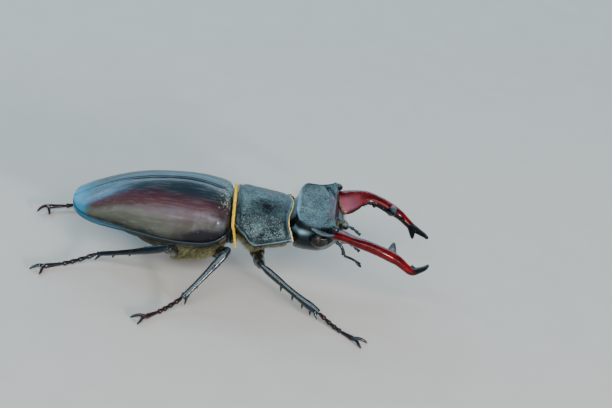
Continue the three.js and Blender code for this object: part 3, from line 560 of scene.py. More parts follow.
# Pale blue painted highlights lie on the crest, the edge beads, the cheek band, the rear slope and the
# ledge over each eye.
for share, colour in [(dust, "#84999b"), (polish, "#0b1014"), (worn, "#8fb2c4"), (blush, "#5a140f")]:
    tone = add(cuticle, "Mix", {0: share, 6: tone, 7: colour}, **MIXED)
paint(cuticle, "Base Color", tone)
bare = add(cuticle, "Math", (polish, -0.14, 0.36), operation="MULTIPLY_ADD")
paint(cuticle, "Roughness", add(cuticle, "Math", (dust, 0.2, bare), operation="MULTIPLY_ADD"))
beads = add(cuticle, "Math", (polish, -0.92, 1.0), operation="MULTIPLY_ADD")
grains = add(cuticle, "TexVoronoi", {"Vector": where, "Scale": per_mm(0.3)})
beads = add(cuticle, "MapRange", (grains, 0.6, 0.05, 0.0, beads), **EASED)
relief = add(cuticle, "Bump", {"Distance": 0.13 * MM, "Height": beads})
paint(cuticle, "Normal", relief)


def shield():
    """A heart outline, drawn in towards its middle on top of a thick edge."""
    front, half, tip = SCUTELLUM["front"], SCUTELLUM["half"], -SCUTELLUM["length"]
    t = np.linspace(0, 1, 24)
    side_x = (1 - t) ** 2 * front + 2 * t * (1 - t) * -1.6 + t ** 2 * tip
    side_y = (1 - t) ** 2 * half + 2 * t * (1 - t) * (half + 0.2)
    brow = np.linspace(-half, half, 16)[1:-1]
    outline = np.concatenate([
        np.stack([side_x, side_y], -1),
        np.stack([side_x, -side_y], -1)[-2::-1],
        np.stack([0 * brow + front, brow], -1),
    ])
    middle = np.array([-0.7, 0.0])
    flats = [(middle + (outline - middle) * share, z) for share, z in SCUTELLUM_SECTION]
    rings = np.array([np.column_stack([flat, np.full(len(flat), z)]) for flat, z in flats])
    c, s = math.cos(SCUTELLUM_SLOPE), math.sin(SCUTELLUM_SLOPE)
    x, y, z = np.moveaxis(rings, -1, 0)
    return np.stack([x * c + z * s, y, z * c - x * s + SCUTELLUM["height"]], -1)


shield_plate = build("shield", skin(shield()), in_trunk, cuticle)
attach(shield_plate, "root")
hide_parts("scutellum")

# ---------------------------------------------------------------- waist
# The short stalk that joins the fore body to the breast: bare, glossy and wrinkled, deep between the
# pronotum and the wing cases.
WAIST = {"half_width": 6.4, "half_height": 4.35, "height": 0.35, "squareness": 2.6}
WAIST_ROWS, WAIST_COLUMNS = 24, 96
PRONOTUM_BASE = 1.4


def waist_ring(x, scale, turns):
    """One squarish ring of the stalk."""
    y, z = (np.sign(v) * np.abs(v) ** (2 / WAIST["squareness"]) for v in (np.sin(turns), np.cos(turns)))
    y = WAIST["half_width"] * scale * y
    z = WAIST["height"] + WAIST["half_height"] * scale * z
    return np.stack([0 * y + x, y, z], -1)


ring_turns = np.linspace(0, 2 * math.pi, WAIST_COLUMNS, endpoint=False)
wrinkles = np.linspace(ELYTRA_FRONT - 0.4, PRONOTUM_BASE + 0.6, WAIST_ROWS)
waist_rings = [waist_ring(x, 0.97 + 0.02 * math.sin(9 * x), ring_turns) for x in wrinkles]

# Chitin of the limbs and the waist: black and polished, with fine hair pores. The eye reads thin
# blue-white highlights on almost black.
limb_black, where = finish(
    "polished_black_chitin", Specular_IOR_Level=0.6, Specular_Tint=linear("#bfe0f5"), Coat_Weight=0.25,
    Coat_Roughness=0.1,
)
cloud = add(
    limb_black, "TexNoise", {"Vector": where, "Scale": per_mm(1.2), "Detail": 5.0, "Roughness": 0.6},
)
tone = add(
    limb_black, "ValToRGB", [cloud], stops=[(0.3, "#060709"), (0.55, "#0d1114"), (0.75, "#1b2023")],
)
paint(limb_black, "Base Color", tone)
paint(limb_black, "Roughness", add(limb_black, "Math", (cloud, 0.3, 0.1), operation="MULTIPLY_ADD"))
pores = add(limb_black, "TexVoronoi", {"Vector": where, "Scale": per_mm(0.45)})
pores = add(limb_black, "MapRange", (pores, 0.0, 0.45), **EASED)
relief = add(limb_black, "Bump", {"Strength": 0.8, "Distance": 0.05 * MM, "Height": pores})
paint(limb_black, "Normal", relief)

waist = build("waist_stalk", skin(np.array(waist_rings)), in_trunk, limb_black)
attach(waist, "root")
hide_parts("waist")

# ---------------------------------------------------------------- fore body
# The pronotum is one broad shield with a fine bead round it, two dimples at the sides and two bare
# sunken spots in front. The sternum closes it below and carries the fore legs.
PRONOTUM_LENGTH = 10
PRONOTUM_HALF_WIDTH = 9.8
PRONOTUM_LIP = 0.4
STERNUM_LENGTH = 10.6
STERNUM_INSET = 2.6
EDGE_BEAD = {"at": 0.12, "wide": 0.22, "high": 0.15}  # from the edge, in millimetres
EDGE_GROOVE = {"at": 0.6, "wide": 0.25, "deep": 0.13}
MIDDLE_FURROW = {"wide": 0.5, "deep": 0.06}
COLLAR_SEAT = (10.7, 0, 0.52)
PRONOTUM_ROWS, PRONOTUM_COLUMNS = 130, 141
STERNUM_ROWS, STERNUM_COLUMNS = 60, 60
DIMPLE = {"place": 0.475, "turn": math.radians(67), "long": 0.05, "wide": math.radians(4.5), "deep": 0.2}
BARE_SPOT = {
    "place": 0.56, "turn": math.radians(20), "long": 0.26, "wide": math.radians(12), "deep": 0.16,
}

pronotum_width = through([
    (0, 0.7), (0.06, 0.79), (0.17, 0.913), (0.31, 0.988), (0.39, 1), (0.68, 0.967), (1, 0.89),
])
pronotum_margin = through([
    (0, 2.5), (0.06, 2.2), (0.17, 1.75), (0.31, 0.4), (0.39, 0.0), (0.68, 0.55), (1, 1.3),
])
pronotum_top = through([
    (0, 6.2), (0.06, 6.1), (0.17, 5.95), (0.37, 5.95), (0.68, 5.5), (0.86, 5.1), (0.96, 4.8), (1, 4.7),
])
pronotum_fall = through([(0, 1), (0.2, 1.15), (1, 1.5)])
front_reach = through([(0, 0.7), (0.25, 0.45), (0.5, 0.02), (0.66, 0.02), (0.84, 0.42), (1, 1.05)])
sternum_depth = through([(0, 3.6), (0.3, 3.9), (0.55, 3.2), (1, 3.6)])


def pronotum_place(s, turn):
    """A place on the shield: s runs from base to front, and turn 0 is the middle."""
    x = PRONOTUM_BASE + PRONOTUM_LENGTH * s + front_reach(np.abs(np.sin(turn))) * s ** 3
    y = PRONOTUM_HALF_WIDTH * pronotum_width(s) * np.sin(turn)
    rise = (pronotum_top(s) - pronotum_margin(s)) * np.maximum(np.cos(turn), 0) ** pronotum_fall(s)
    return np.stack([x, y, pronotum_margin(s) + rise], -1)


def pronotum():
    """Rings of the shield from base to front edge, how polished each point is, and its share of painted
    highlight.
    """
    s = eased(PRONOTUM_ROWS, 0.6)[:, None]
    turn = np.linspace(-math.pi / 2, math.pi / 2, PRONOTUM_COLUMNS)[None, :]
    top = pronotum_place(s, turn)
    under = pronotum_place(s, np.arcsin(np.linspace(0.985, -0.985, 40))[None, :])
    under[..., 2] = pronotum_margin(s) - PRONOTUM_LIP
    rings = np.concatenate([top, under], 1)
    above_margin = top[..., 2] - pronotum_margin(s)
    edges = [above_margin, PRONOTUM_LENGTH * s + 0 * turn, PRONOTUM_LENGTH * (1 - s) + 0 * turn]
    bead, groove = (
        np.maximum.reduce([bump(edge - line["at"], line["wide"]) for edge in edges])
        for line in (EDGE_BEAD, EDGE_GROOVE)
    )
    furrow = bump(np.sin(turn) * PRONOTUM_HALF_WIDTH, MIDDLE_FURROW["wide"])
    height = EDGE_BEAD["high"] * bead - EDGE_GROOVE["deep"] * groove - MIDDLE_FURROW["deep"] * furrow
    spot = 0 * height
    for hand in (-1, 1):
        for mark_at, depth in ((DIMPLE, 0.5), (BARE_SPOT, 1.0)):
            here = bump(s - mark_at["place"], mark_at["long"])
            here = here * bump(turn - hand * mark_at["turn"], mark_at["wide"])
            height -= mark_at["deep"] * here
            spot = spot + depth * here
    full, polished = np.zeros(rings.shape[:2]), np.zeros(rings.shape[:2])
    full[:, :height.shape[1]] = height
    polished[:, :height.shape[1]] = np.clip(spot + 0.7 * bead + 0.5 * groove, 0, 1)
    # Painted highlights: pale lines along the side margin's bead and along the front edge.
    painted_highlight_share = np.zeros(rings.shape[:2])
    painted_highlight_share[:, :height.shape[1]] = 0.4 * bump(above_margin - 0.2, 0.08) + 0.25 * bump(edges[2] - 0.2, 0.1)
    rings = rings + normals(rings) * full[..., None]
    # The front closes in a shallow hollow that takes the head's collar.
    seat = rings[-1] * (0, 0.8, 0.8) + COLLAR_SEAT
    polish = np.r_[polished.ravel(), np.ones(rings.shape[1])]
    return np.concatenate([rings, seat[None]]), polish, painted_highlight_share.ravel()


shield_rings, shield_polish, shield_worn = pronotum()
fore_shield = build(
    "pronotum_shield", skin(shield_rings), in_trunk, cuticle, polish=shield_polish, worn=shield_worn,
)
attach(fore_shield, "root")
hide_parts("pronotum")


def sternum():
    """Rings that hang below the shield's edge, with a keel between the fore legs."""
    rings = []
    turns = np.linspace(0, math.pi, STERNUM_COLUMNS)
    for s in np.linspace(0.02, 0.97, STERNUM_ROWS):
        width = PRONOTUM_HALF_WIDTH * pronotum_width(s) - STERNUM_INSET * min(1, 0.35 + s)
        top = pronotum_margin(s) - PRONOTUM_LIP - 0.1
        keel = 0.35 * bump(turns - math.pi / 2, 0.12) * bump(s - 0.55, 0.35)
        z = top - sternum_depth(s) * np.sin(turns) ** 0.9 - keel
        lower = np.stack([0 * z + PRONOTUM_BASE + STERNUM_LENGTH * s, -width * np.cos(turns), z], -1)
        upper = lower[-2:0:-2].copy()
        upper[:, 2] = top
        rings.append(np.concatenate([lower, upper]))
    return np.array(rings)


sternum_rings = sternum()
fore_sternum = build("fore_sternum", skin(sternum_rings), in_trunk, underside)
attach(fore_sternum, "root")
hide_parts("prosternum")

# ---------------------------------------------------------------- head
# A broad box whose top is a dished, grained plate behind a raised brow. A polished crest borders the
# plate, a ledge runs out over each eye, and the front falls steeply to the face between the jaws.
HEAD_HALF_WIDTH = 9.2
HEAD_SECTIONS = [  # x, middle of the top, crest, cheek and throat as y and z, lowest point, and bow
    (11.3, 3.2, (3.8, 3.0), (4.8, 2.5), (4.2, 2.1), 2.0, 0),
    (12.2, 4.0, (5.2, 3.4), (6.6, 2.5), (6.0, 1.8), 1.6, 0.8),
    (12.8, 4.7, (6.6, 4.2), (7.8, 1.9), (6.4, -0.7), -2.3, 1.0),
    (13.0, 5.1, (7.6, 5.0), (8.2, 1.9), (6.6, -0.9), -2.5, 1.1),
    (13.6, 5.1, (8.2, 5.4), (8.4, 1.9), (6.7, -1.0), -2.6, 1.0),
    (15.5, 4.7, (8.5, 5.1), (8.4, 2.0), (6.8, -1.1), -2.7, 0),
    (17.5, 4.6, (8.75, 5.05), (8.4, 2.0), (6.8, -1.1), -2.7, 0),
    (19.3, 4.9, (9.1, 5.3), (8.6, 2.3), (6.3, -0.5), -2.5, 0),
    (20.1, 5.4, (9.2, 5.8), (8.3, 2.9), (5.8, 0.1), -2.1, 0.3),
    (20.6, 4.9, (8.9, 5.2), (8.0, 3.1), (5.4, 0.5), -1.8, 0.3),
    (20.9, 4.0, (8.1, 4.3), (7.4, 2.9), (5.0, 0.9), -1.6, 0),
]
FACE_SECTIONS = [
    (20.2, 4.6, 4.9, -2.0), (20.8, 3.9, 4.3, -2.0), (21.2, 3.1, 3.7, -1.8), (22.2, 2.7, 2.9, -1.1),
    (22.35, 2.3, 2.5, -0.8),
]
EYE_CENTRE = np.array([17.9, 8.3, 2.0])
EYE_RADII = np.array([1.75, 0.95, 1.6])
EAR_CENTRE = np.array([20.6, 8.7, 5.0])
EAR_RADII = np.array([0.95, 0.85, 0.75])
LEDGE = [
    (15.9, 8.5, 4.7, 0.3, 0.2), (17.0, 9.0, 4.15, 0.5, 0.33), (18.4, 9.3, 3.8, 0.58, 0.36),
    (19.8, 9.3, 3.75, 0.5, 0.33), (20.8, 8.9, 3.7, 0.3, 0.25),
]
CREST = [
    (13.1, 2.0, 5.0, 0.2, 0.16), (13.35, 4.4, 5.1, 0.24, 0.2), (13.9, 6.9, 5.15, 0.3, 0.24),
    (14.6, 8.0, 5.2, 0.3, 0.26), (15.7, 8.42, 4.98, 0.3, 0.25), (17.5, 8.62, 4.95, 0.28, 0.22),
    (19.3, 9.0, 5.2, 0.28, 0.22), (20.2, 9.15, 5.6, 0.3, 0.24),
]
ORBIT = {"at": 1.02, "wide": 0.16, "deep": 0.2}  # in eye radii, and millimetres deep
# A painted highlight band lies along each cheek, and a narrower one along the crest.
CHEEK_HIGHLIGHT = {"x": 14.2, "long": 1.4, "z": 3.2, "high": 0.45}
CREST_POLISHED, CREST_HIGHLIGHT = 0.42, 0.17  # half-widths along the crest
SKULL_ROWS, SKULL_COLUMNS = 120, 110
HEAD_VOXEL = 0.12
BROW_GROOVE = {"x": 20.3, "bend": 0.028, "half": 8.2, "wide": 0.4, "deep": 0.35}
BLUSH = {"x": 19.8, "y": 2.4, "long": 0.55, "wide": 2.0}


def head_profile(section):
    """Half of one section of the head, from the middle of its top round to its lowest point."""
    _, mid, (crest_y, crest_z), (cheek_y, cheek_z), (throat_y, throat_z), low, _ = section
    return [
        (0, mid), (crest_y * 0.4, mid + (crest_z - mid) * 0.1),
        (crest_y * 0.72, mid + (crest_z - mid) * 0.45),
        (crest_y * 0.93, crest_z), (crest_y, crest_z - 0.35),
        ((crest_y + cheek_y) / 2 - 0.25, (crest_z + cheek_z) / 2), (cheek_y, cheek_z),
        (cheek_y - 0.35, (cheek_z * 2 + throat_z) / 3 - 0.3), (throat_y, throat_z),
        (throat_y * 0.6, low + 0.2), (0, low),
    ]


def skull():
    """Rings from neck to brow."""
    controls = np.array([head_profile(section) for section in HEAD_SECTIONS])
    stations = np.array([section[0] for section in HEAD_SECTIONS])
    x = stations[0] + (stations[-1] - stations[0]) * eased(SKULL_ROWS, 0.6)
    bow = through([(section[0], section[-1]) for section in HEAD_SECTIONS])(x)
    count = controls.shape[1]
    along = np.array([
        [through(list(zip(stations, controls[:, p, a])))(x) for a in (0, 1)] for p in range(count)
    ])
    fine = np.linspace(0, count - 1, SKULL_COLUMNS)
    rings = []
    for i in range(len(x)):
        y, z = (through(list(enumerate(along[:, a, i])))(fine) for a in (0, 1))
        half = np.stack([x[i] + bow[i] * (y / HEAD_HALF_WIDTH) ** 2, y, z], -1)
        rings.append(np.concatenate([half, half[-2:0:-1] * (1, -1, 1)]))
    return np.array(rings)


def face():
    """Squarish rings of the front between the jaws."""
    rings = []
    turns = np.linspace(0, 2 * math.pi, 64, endpoint=False)
    for x, half, top, low in FACE_SECTIONS:
        y = half * np.sign(np.sin(turns)) * np.abs(np.sin(turns)) ** 0.5
        z = (top + low) / 2 + (top - low) / 2 * np.sign(np.cos(turns)) * np.abs(np.cos(turns)) ** 0.5
        rings.append(np.stack([0 * y + x, y, z], -1))
    return np.array(rings)


def ball(centre, radii, rows=24, columns=36):
    """Rings of an ellipsoid whose poles lie left and right."""
    polar = np.linspace(0.05, math.pi - 0.05, rows)[:, None]
    turn = np.linspace(0, 2 * math.pi, columns, endpoint=False)[None, :]
    round_pole, to_pole = np.sin(polar), np.cos(polar)
    unit = np.stack([round_pole * np.cos(turn), to_pole + 0 * turn, round_pole * np.sin(turn)], -1)
    return np.asarray(centre) + unit * radii


def spine(places, t):
    """Places on a smooth curve through the given ones, which are evenly spread over t from 0 to 1."""
    p = np.asarray(places, float)
    p = np.concatenate([[2 * p[0] - p[1]], p, [2 * p[-1] - p[-2]]])
    spans = len(p) - 3
    i = np.minimum((t * spans).astype(int), spans - 1)
    u = (t * spans - i)[:, None]
    before, start, end, after = p[i], p[i + 1], p[i + 2], p[i + 3]
    steps = [(before, start), (start, end), (end, after)]
    d0, d1, d2 = (np.sqrt(np.linalg.norm(b - a, axis=1))[:, None] for a, b in steps)
    m0 = (start - before) / d0 - (end - before) / (d0 + d1) + (end - start) / d1
    m1 = (end - start) / d1 - (after - start) / (d1 + d2) + (after - end) / d2
    m0, m1 = m0 * d1, m1 * d1
    square = 3 * (end - start) - 2 * m0 - m1
    cube = 2 * (start - end) + m0 + m1
    return start + m0 * u + square * u ** 2 + cube * u ** 3


def sweep(stations, sides, steps, edges=0.0):
    """Rings along a curve. A station is x, y, z, half-width, half-height and twist in degrees."""
    table = np.array([list(station) + [0.0] * (6 - len(station)) for station in stations])
    t = np.linspace(0, 1, steps + 1)
    knots = np.linspace(0, 1, len(table))
    wide, high, twist = (through(list(zip(knots, table[:, c])))(t) for c in (3, 4, 5))
    centre = spine(table[:, :3], t)
    forward = np.gradient(centre, axis=0)
    forward /= np.linalg.norm(forward, axis=1, keepdims=True)
    beside = np.cross([0.0, 0.0, 1.0], forward)
    beside /= np.linalg.norm(beside, axis=1, keepdims=True)
    over = np.cross(forward, beside)
    turn = np.linspace(0, 2 * math.pi, sides, endpoint=False)[None, :]
    form = 1 + edges * np.cos(4 * turn)
    w = np.cos(turn) * wide[:, None] * form
    h = np.sin(turn) * high[:, None] * form
    a = np.radians(twist)[:, None]
    rings = centre[:, None] + (w * np.cos(a) - h * np.sin(a))[..., None] * beside[:, None]
    return rings + (w * np.sin(a) + h * np.cos(a))[..., None] * over[:, None]


def blended(surfaces, voxel, smoothing):
    """Crossing closed surfaces melted into one by a fine grid: its points, faces and normals."""
    raw = build("raw", together(*surfaces), np.asarray, None)
    remesh = raw.modifiers.new("remesh", "REMESH")
    remesh.mode = "VOXEL"
    remesh.voxel_size = voxel
    smooth = raw.modifiers.new("smooth", "SMOOTH")
    smooth.iterations = smoothing
    result = raw.evaluated_get(bpy.context.evaluated_depsgraph_get()).to_mesh()
    points = np.array([vertex.co for vertex in result.vertices])
    outward = np.array([vertex.normal for vertex in result.vertices])
    faces = [list(polygon.vertices) for polygon in result.polygons]
    bpy.data.objects.remove(raw)
    return points, faces, outward


def head():
    """The head's surface, with how polished and how red-brown each point is, and its share of painted
    highlight.
    """
    parts = [skin(skull()), skin(face())]
    for hand in (1, -1):
        flip = np.array([1, hand, 1])
        parts += [skin(sweep(path, sides=20, steps=60) * flip) for path in (LEDGE, CREST)]
        parts.append(skin(ball(EAR_CENTRE, EAR_RADII) * flip))
    points, faces, outward = blended(parts, HEAD_VOXEL, 4)
    x, y, z = points.T
    y = np.abs(y)
    level = np.clip((outward[:, 2] - 0.55) / 0.25, 0, 1)
    path = spine([station[:3] for station in CREST], np.linspace(0, 1, 80))
    from_crest = np.sqrt(((np.stack([x, y, z], -1)[:, None] - path[None]) ** 2).sum(-1)).min(1)
    crest = bump(from_crest, CREST_POLISHED)
    groove = bump(x - BROW_GROOVE["x"] + BROW_GROOVE["bend"] * y ** 2, BROW_GROOVE["wide"])
    groove = groove * (y < BROW_GROOVE["half"]) * (z > 3.6)
    from_eye = (points * (1, 0, 1) - EYE_CENTRE * (1, 0, 1)) / EYE_RADII
    orbit = bump(np.hypot(from_eye[:, 0], from_eye[:, 2]) - ORBIT["at"], ORBIT["wide"]) * (y > 6)
    points = points - outward * (BROW_GROOVE["deep"] * groove + ORBIT["deep"] * orbit)[:, None]
    on_plate = level * np.clip((x - 13.3) / 0.4, 0, 1) * (z > 3.9)
    cheek = bump(z - CHEEK_HIGHLIGHT["z"], CHEEK_HIGHLIGHT["high"])
    cheek = cheek * bump(x - CHEEK_HIGHLIGHT["x"], CHEEK_HIGHLIGHT["long"]) * (y > 6)
    middle = np.clip((4.4 - y) / 1.6, 0, 1) * np.clip((13.8 - x) / 0.4, 0, 1) * (z > 2.2)
    # The brow groove is polished and painted dark as shade in its crease; the cheek band and the rear
    # slope's middle are left less polished under their painted highlight.
    polished = np.clip(1 - on_plate + crest + groove - 0.4 * cheek, 0, 1) * (1 - 0.85 * middle)
    # Painted highlights: a pale line along the crest's rear part, a band on the cheek, the middle of the
    # rear slope and the ledge over each eye.
    painted_highlight_share = 0.75 * bump(from_crest, CREST_HIGHLIGHT) * (x < 18) + 0.8 * cheek + 0.4 * middle
    painted_highlight_share += 0.2 * (y > 8.8) * level * (z < 4.7)
    red = bump(x - BLUSH["x"], BLUSH["long"]) * bump(y - BLUSH["y"], BLUSH["wide"]) * (z > 3.8)
    return (points, faces), polished, red, np.clip(painted_highlight_share, 0, 1)


head_surface, head_polish, head_blush, head_worn = head()
head_piece = build(
    "head_capsule", head_surface, in_head, cuticle, polish=head_polish, blush=head_blush, worn=head_worn,
)
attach(head_piece, "root")
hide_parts("head")

LIP = [
    (22.3, 0, 1.5, 1.9, 0.5), (22.8, 0, 1.35, 1.75, 0.48), (23.2, 0, 1.15, 1.3, 0.4),
    (23.5, 0, 0.95, 0.4, 0.15),
]
lip = build("upper_lip", skin(sweep(LIP, sides=40, steps=16)), in_head, limb_black)
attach(lip, "root")
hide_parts("labrum")

# ---------------------------------------------------------------- eyes
# Faceted domes let into the cheeks, each notched above where the ledge crosses it. The facets are about
# 0.03 mm, and are drawn at five times that, over shallow dents. Clear chitin over black pigment, browner
# below, so the eye reads a wet black dome with small sharp window lights.
eye_black, where = finish(
    "faceted_eye", Roughness=0.1, Specular_IOR_Level=0.3, Coat_Weight=0.35, Coat_Roughness=0.03,
)
low = add(eye_black, "Attribute", output="Fac", attribute_name="low")
tone = add(eye_black, "ValToRGB", [low], stops=[(0.3, "#020303"), (0.75, "#0b0504"), (1.0, "#060302")])
paint(eye_black, "Base Color", tone)
facets = add(eye_black, "TexVoronoi", {"Vector": where, "Scale": per_mm(0.14)})
dents = add(
    eye_black, "TexNoise", {"Vector": where, "Scale": per_mm(0.8), "Detail": 1.0, "Roughness": 0.6},
)
dents = add(eye_black, "Math", (dents, 4.0, facets), operation="MULTIPLY_ADD")
relief = add(eye_black, "Bump", {"Distance": 0.06 * MM, "Height": dents})
paint(eye_black, "Normal", relief)


def eye():
    unit = ball((0, 0, 0), 1, 48, 72)
    notch = 0.12 * bump(unit[..., 2] - 0.72, 0.16) * (unit[..., 1] > 0)
    unit = unit * (1 - notch)[..., None]
    return EYE_CENTRE + unit * EYE_RADII * (1, 1.08, 1), (1 - unit[..., 2]).ravel() / 2


eye_rings, eye_low = eye()
for side, hand in SIDES:
    dome = build(f"eye_dome_{side}", skin(eye_rings * (1, hand, 1)), in_head, eye_black, low=eye_low)
    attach(dome, "root")
    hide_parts(f"eye_{side}")

# ---------------------------------------------------------------- jaws
# The male's great mandibles: polished red chitin, drawn out like antlers with one long tooth, a forked
# tip and a row of low knobs on the inner edge, where the chitin is thick and black.
JAW_STATIONS = [
    (20.9, 6.4, 2.5, 2.7, 1.2, 26), (22.2, 6.9, 2.7, 2.75, 1.15, 27), (23.6, 7.9, 2.85, 2.45, 1.0, 28),
    (25.1, 9.0, 2.95, 1.9, 1.0, 28), (26.8, 9.65, 2.9, 1.5, 1.05, 24), (29.0, 9.8, 2.3, 1.25, 1.05, 16),
    (31.6, 9.5, 1.2, 1.3, 1.1, 8), (33.5, 9.4, 0.2, 1.05, 0.95, 0), (35.0, 9.3, -1.0, 0.92, 0.82, 0),
    (36.3, 9.0, -1.95, 0.86, 0.75, 0), (37.7, 7.8, -2.2, 0.7, 0.6, 0), (38.9, 6.6, -2.25, 0.52, 0.46, 0),
    (39.6, 5.4, -2.2, 0.32, 0.3, 0),
]
JAW_TEETH = [
    {"root": (31.9, 8.9, 1.1), "point": (32.4, 5.7, 2.1), "radius": 1.15},
    {"root": (36.4, 8.4, -2.0), "point": (36.6, 5.4, -2.75), "radius": 0.85},
    {"root": (28.2, 9.3, 2.3), "point": (28.3, 8.0, 1.8), "radius": 0.7},
    {"root": (34.0, 9.2, -0.2), "point": (34.3, 7.9, -0.2), "radius": 0.55},
]
JAW_KNOBS = [0.27, 0.31, 0.36, 0.46, 0.51]  # places along the inner edge
KNOB_RADIUS, KNOB_TIP = 0.32, 0.16
KNOB_SUNK, KNOB_PROUD = 0.35, 0.3
TOOTH_TIP = 0.24
JAW_SIDES, JAW_STEPS = 48, 260
JAW_VOXEL = 0.1
BLACK_FROM, BLACK_TO = 0.7, 0.79  # share of the jaw's length where red turns to black


def thorn(root, point, radius, tip, sides=20, steps=14):
    """Rings of a thorn with a flared root and a rounded point."""
    root, point = np.array(root, float), np.array(point, float)
    stations = []
    for t in np.linspace(0, 1, 8):
        thick = (tip + (radius - tip) * (1 - t) ** 0.9) * (1 if t < 0.99 else 0.5)
        stations.append((*(root + (point - root) * t), thick, thick))
    return sweep(stations, sides, steps)


def jaw():
    """The left jaw's surface, with each point's place along it and how far to the inside it lies."""
    body = sweep(JAW_STATIONS, JAW_SIDES, JAW_STEPS)
    parts = [skin(body)]
    for tooth in JAW_TEETH:
        parts.append(skin(thorn(tooth["root"], tooth["point"], tooth["radius"], TOOTH_TIP)))
    centres = body.mean(1)
    inner_edge = body[:, JAW_SIDES // 2]
    for share in JAW_KNOBS:
        i = int(share * (len(body) - 1))
        inward = (inner_edge[i] - centres[i]) / np.linalg.norm(inner_edge[i] - centres[i])
        root, point = inner_edge[i] - KNOB_SUNK * inward, inner_edge[i] + KNOB_PROUD * inward
        parts.append(skin(thorn(root, point, KNOB_RADIUS, KNOB_TIP)))
    points, faces, _ = blended(parts, JAW_VOXEL, 8)
    nearest = np.array([np.argmin(((centres - point) ** 2).sum(1)) for point in points])
    reach = np.linalg.norm(inner_edge - centres, axis=1)
    inward = (inner_edge - centres) / reach[:, None]
    inner = ((points - centres[nearest]) * inward[nearest]).sum(1) / reach[nearest]
    return (points, faces), nearest / (len(body) - 1), inner


# Mandible chitin: hard, dense and polished, ox-blood red with black where it is thickest. The eye reads
# a deep clear red under one long thin highlight, then black points.
jaw_red, where = finish(
    "oxblood_chitin", Specular_IOR_Level=0.22, Specular_Tint=linear("#dfeaf5"), Coat_Weight=0.1,
    Coat_Roughness=0.04,
)
along, inner = (add(jaw_red, "Attribute", output="Fac", attribute_name=name) for name in ("along", "inner"))
cloud = add(jaw_red, "TexNoise", {"Vector": where, "Scale": per_mm(1.4), "Detail": 5.0, "Roughness": 0.6})
tone = add(jaw_red, "ValToRGB", [cloud], stops=[(0.32, "#320205"), (0.5, "#520308"), (0.68, "#76060d")])

# The broad base is painted mauve along its top: a painted satin sheen.
painted_satin_sheen = add(jaw_red, "MapRange", (along, 0.34, 0.06), **EASED)
painted_satin_sheen = add(jaw_red, "MapRange", (inner, -0.5, 0.1, 0.0, painted_satin_sheen), **EASED)
painted_satin_sheen = add(jaw_red, "MapRange", (inner, 0.98, 0.7, 0.0, painted_satin_sheen), **EASED)
painted_sheen_share = add(jaw_red, "Math", (painted_satin_sheen, 0.6), operation="MULTIPLY")
tone = add(jaw_red, "Mix", {0: painted_sheen_share, 6: tone, 7: "#8f5a6c"}, **MIXED)

# The points and the inner edge are black.
wander = add(jaw_red, "Math", (cloud, 0.1, -0.05), operation="MULTIPLY_ADD")
along_here = add(jaw_red, "Math", (along, wander), operation="ADD")
black_end = add(jaw_red, "MapRange", (along_here, BLACK_FROM, BLACK_TO), **EASED)
black_edge = add(jaw_red, "MapRange", (inner, 0.8, 0.98), **EASED)
black_edge = add(jaw_red, "MapRange", (along, 0.02, 0.12, 0.0, black_edge), **EASED)
black = add(jaw_red, "Math", (black_end, black_edge), operation="MAXIMUM")
paint(jaw_red, "Base Color", add(jaw_red, "Mix", {0: black, 6: tone, 7: "#060506"}, **MIXED))
rough = add(jaw_red, "Math", (cloud, 0.2, 0.1), operation="MULTIPLY_ADD")
rough = add(jaw_red, "Math", (black, 0.25, rough), operation="MULTIPLY_ADD")
paint(jaw_red, "Roughness", add(jaw_red, "Math", (painted_satin_sheen, 0.25, rough), operation="MULTIPLY_ADD"))
pits = add(jaw_red, "TexVoronoi", {"Vector": where, "Scale": per_mm(0.3)})
pits = add(jaw_red, "MapRange", (pits, 0.0, 0.3), **EASED)
relief = add(jaw_red, "Bump", {"Strength": 0.3, "Distance": 0.02 * MM, "Height": pits})
paint(jaw_red, "Normal", relief)

(jaw_points, jaw_faces), jaw_along, jaw_inner = jaw()
for side, hand in SIDES:
    jaw_surface = (jaw_points * (1, hand, 1), jaw_faces)
    horn = build(f"jaw_{side}", jaw_surface, in_head, jaw_red, along=jaw_along, inner=jaw_inner)
    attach(horn, "root")
    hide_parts(f"mandible_{side}")

# ---------------------------------------------------------------- feelers
# Elbowed feelers: a long first joint, then a string of beads that ends in a comb of four leaves, which
# stand out to one side. They hang from under the ledge in front of each eye.
FEELERS = {
    "right": {
        "scape": [
            (21.2, 9.0, 2.4, 0.36, 0.36), (22.0, 9.3, 2.1, 0.32, 0.32), (22.7, 9.4, 1.0, 0.33, 0.33),
            (22.9, 9.4, 0.2, 0.42, 0.42),
        ],
        "club": [
            (23.0, 9.4, -0.1), (24.1, 9.7, -0.25), (24.8, 9.9, -0.4), (25.7, 10.1, -0.75),
            (26.3, 10.2, -1.0),
        ],
    },
    "left": {
        "scape": [
            (21.2, 9.0, 2.4, 0.36, 0.36), (21.8, 10.2, 2.2, 0.32, 0.32), (22.2, 11.4, 1.6, 0.33, 0.33),
            (22.4, 12.1, 1.0, 0.42, 0.42),
        ],
        "club": [
            (22.6, 12.2, 0.8), (23.7, 12.9, 0.7), (24.4, 13.2, 0.6), (25.2, 13.5, 0.35),
            (25.8, 13.7, 0.15),
        ],
    },
}
BEADS = 6
LEAVES = 4


def bead(start, end, root, thick):
    """One joint, thin at its root and rounded at its end."""
    stations = []
    for t, share in [(0, 0.6), (0.15, 1), (0.5, 1.25), (0.8, 1.7), (0.95, 1.3), (1, 0.6)]:
        radius = root * share if share <= 1.3 else min(thick, root * share)
        stations.append((*(start + (end - start) * t), radius, radius))
    return skin(sweep(stations, sides=18, steps=14))


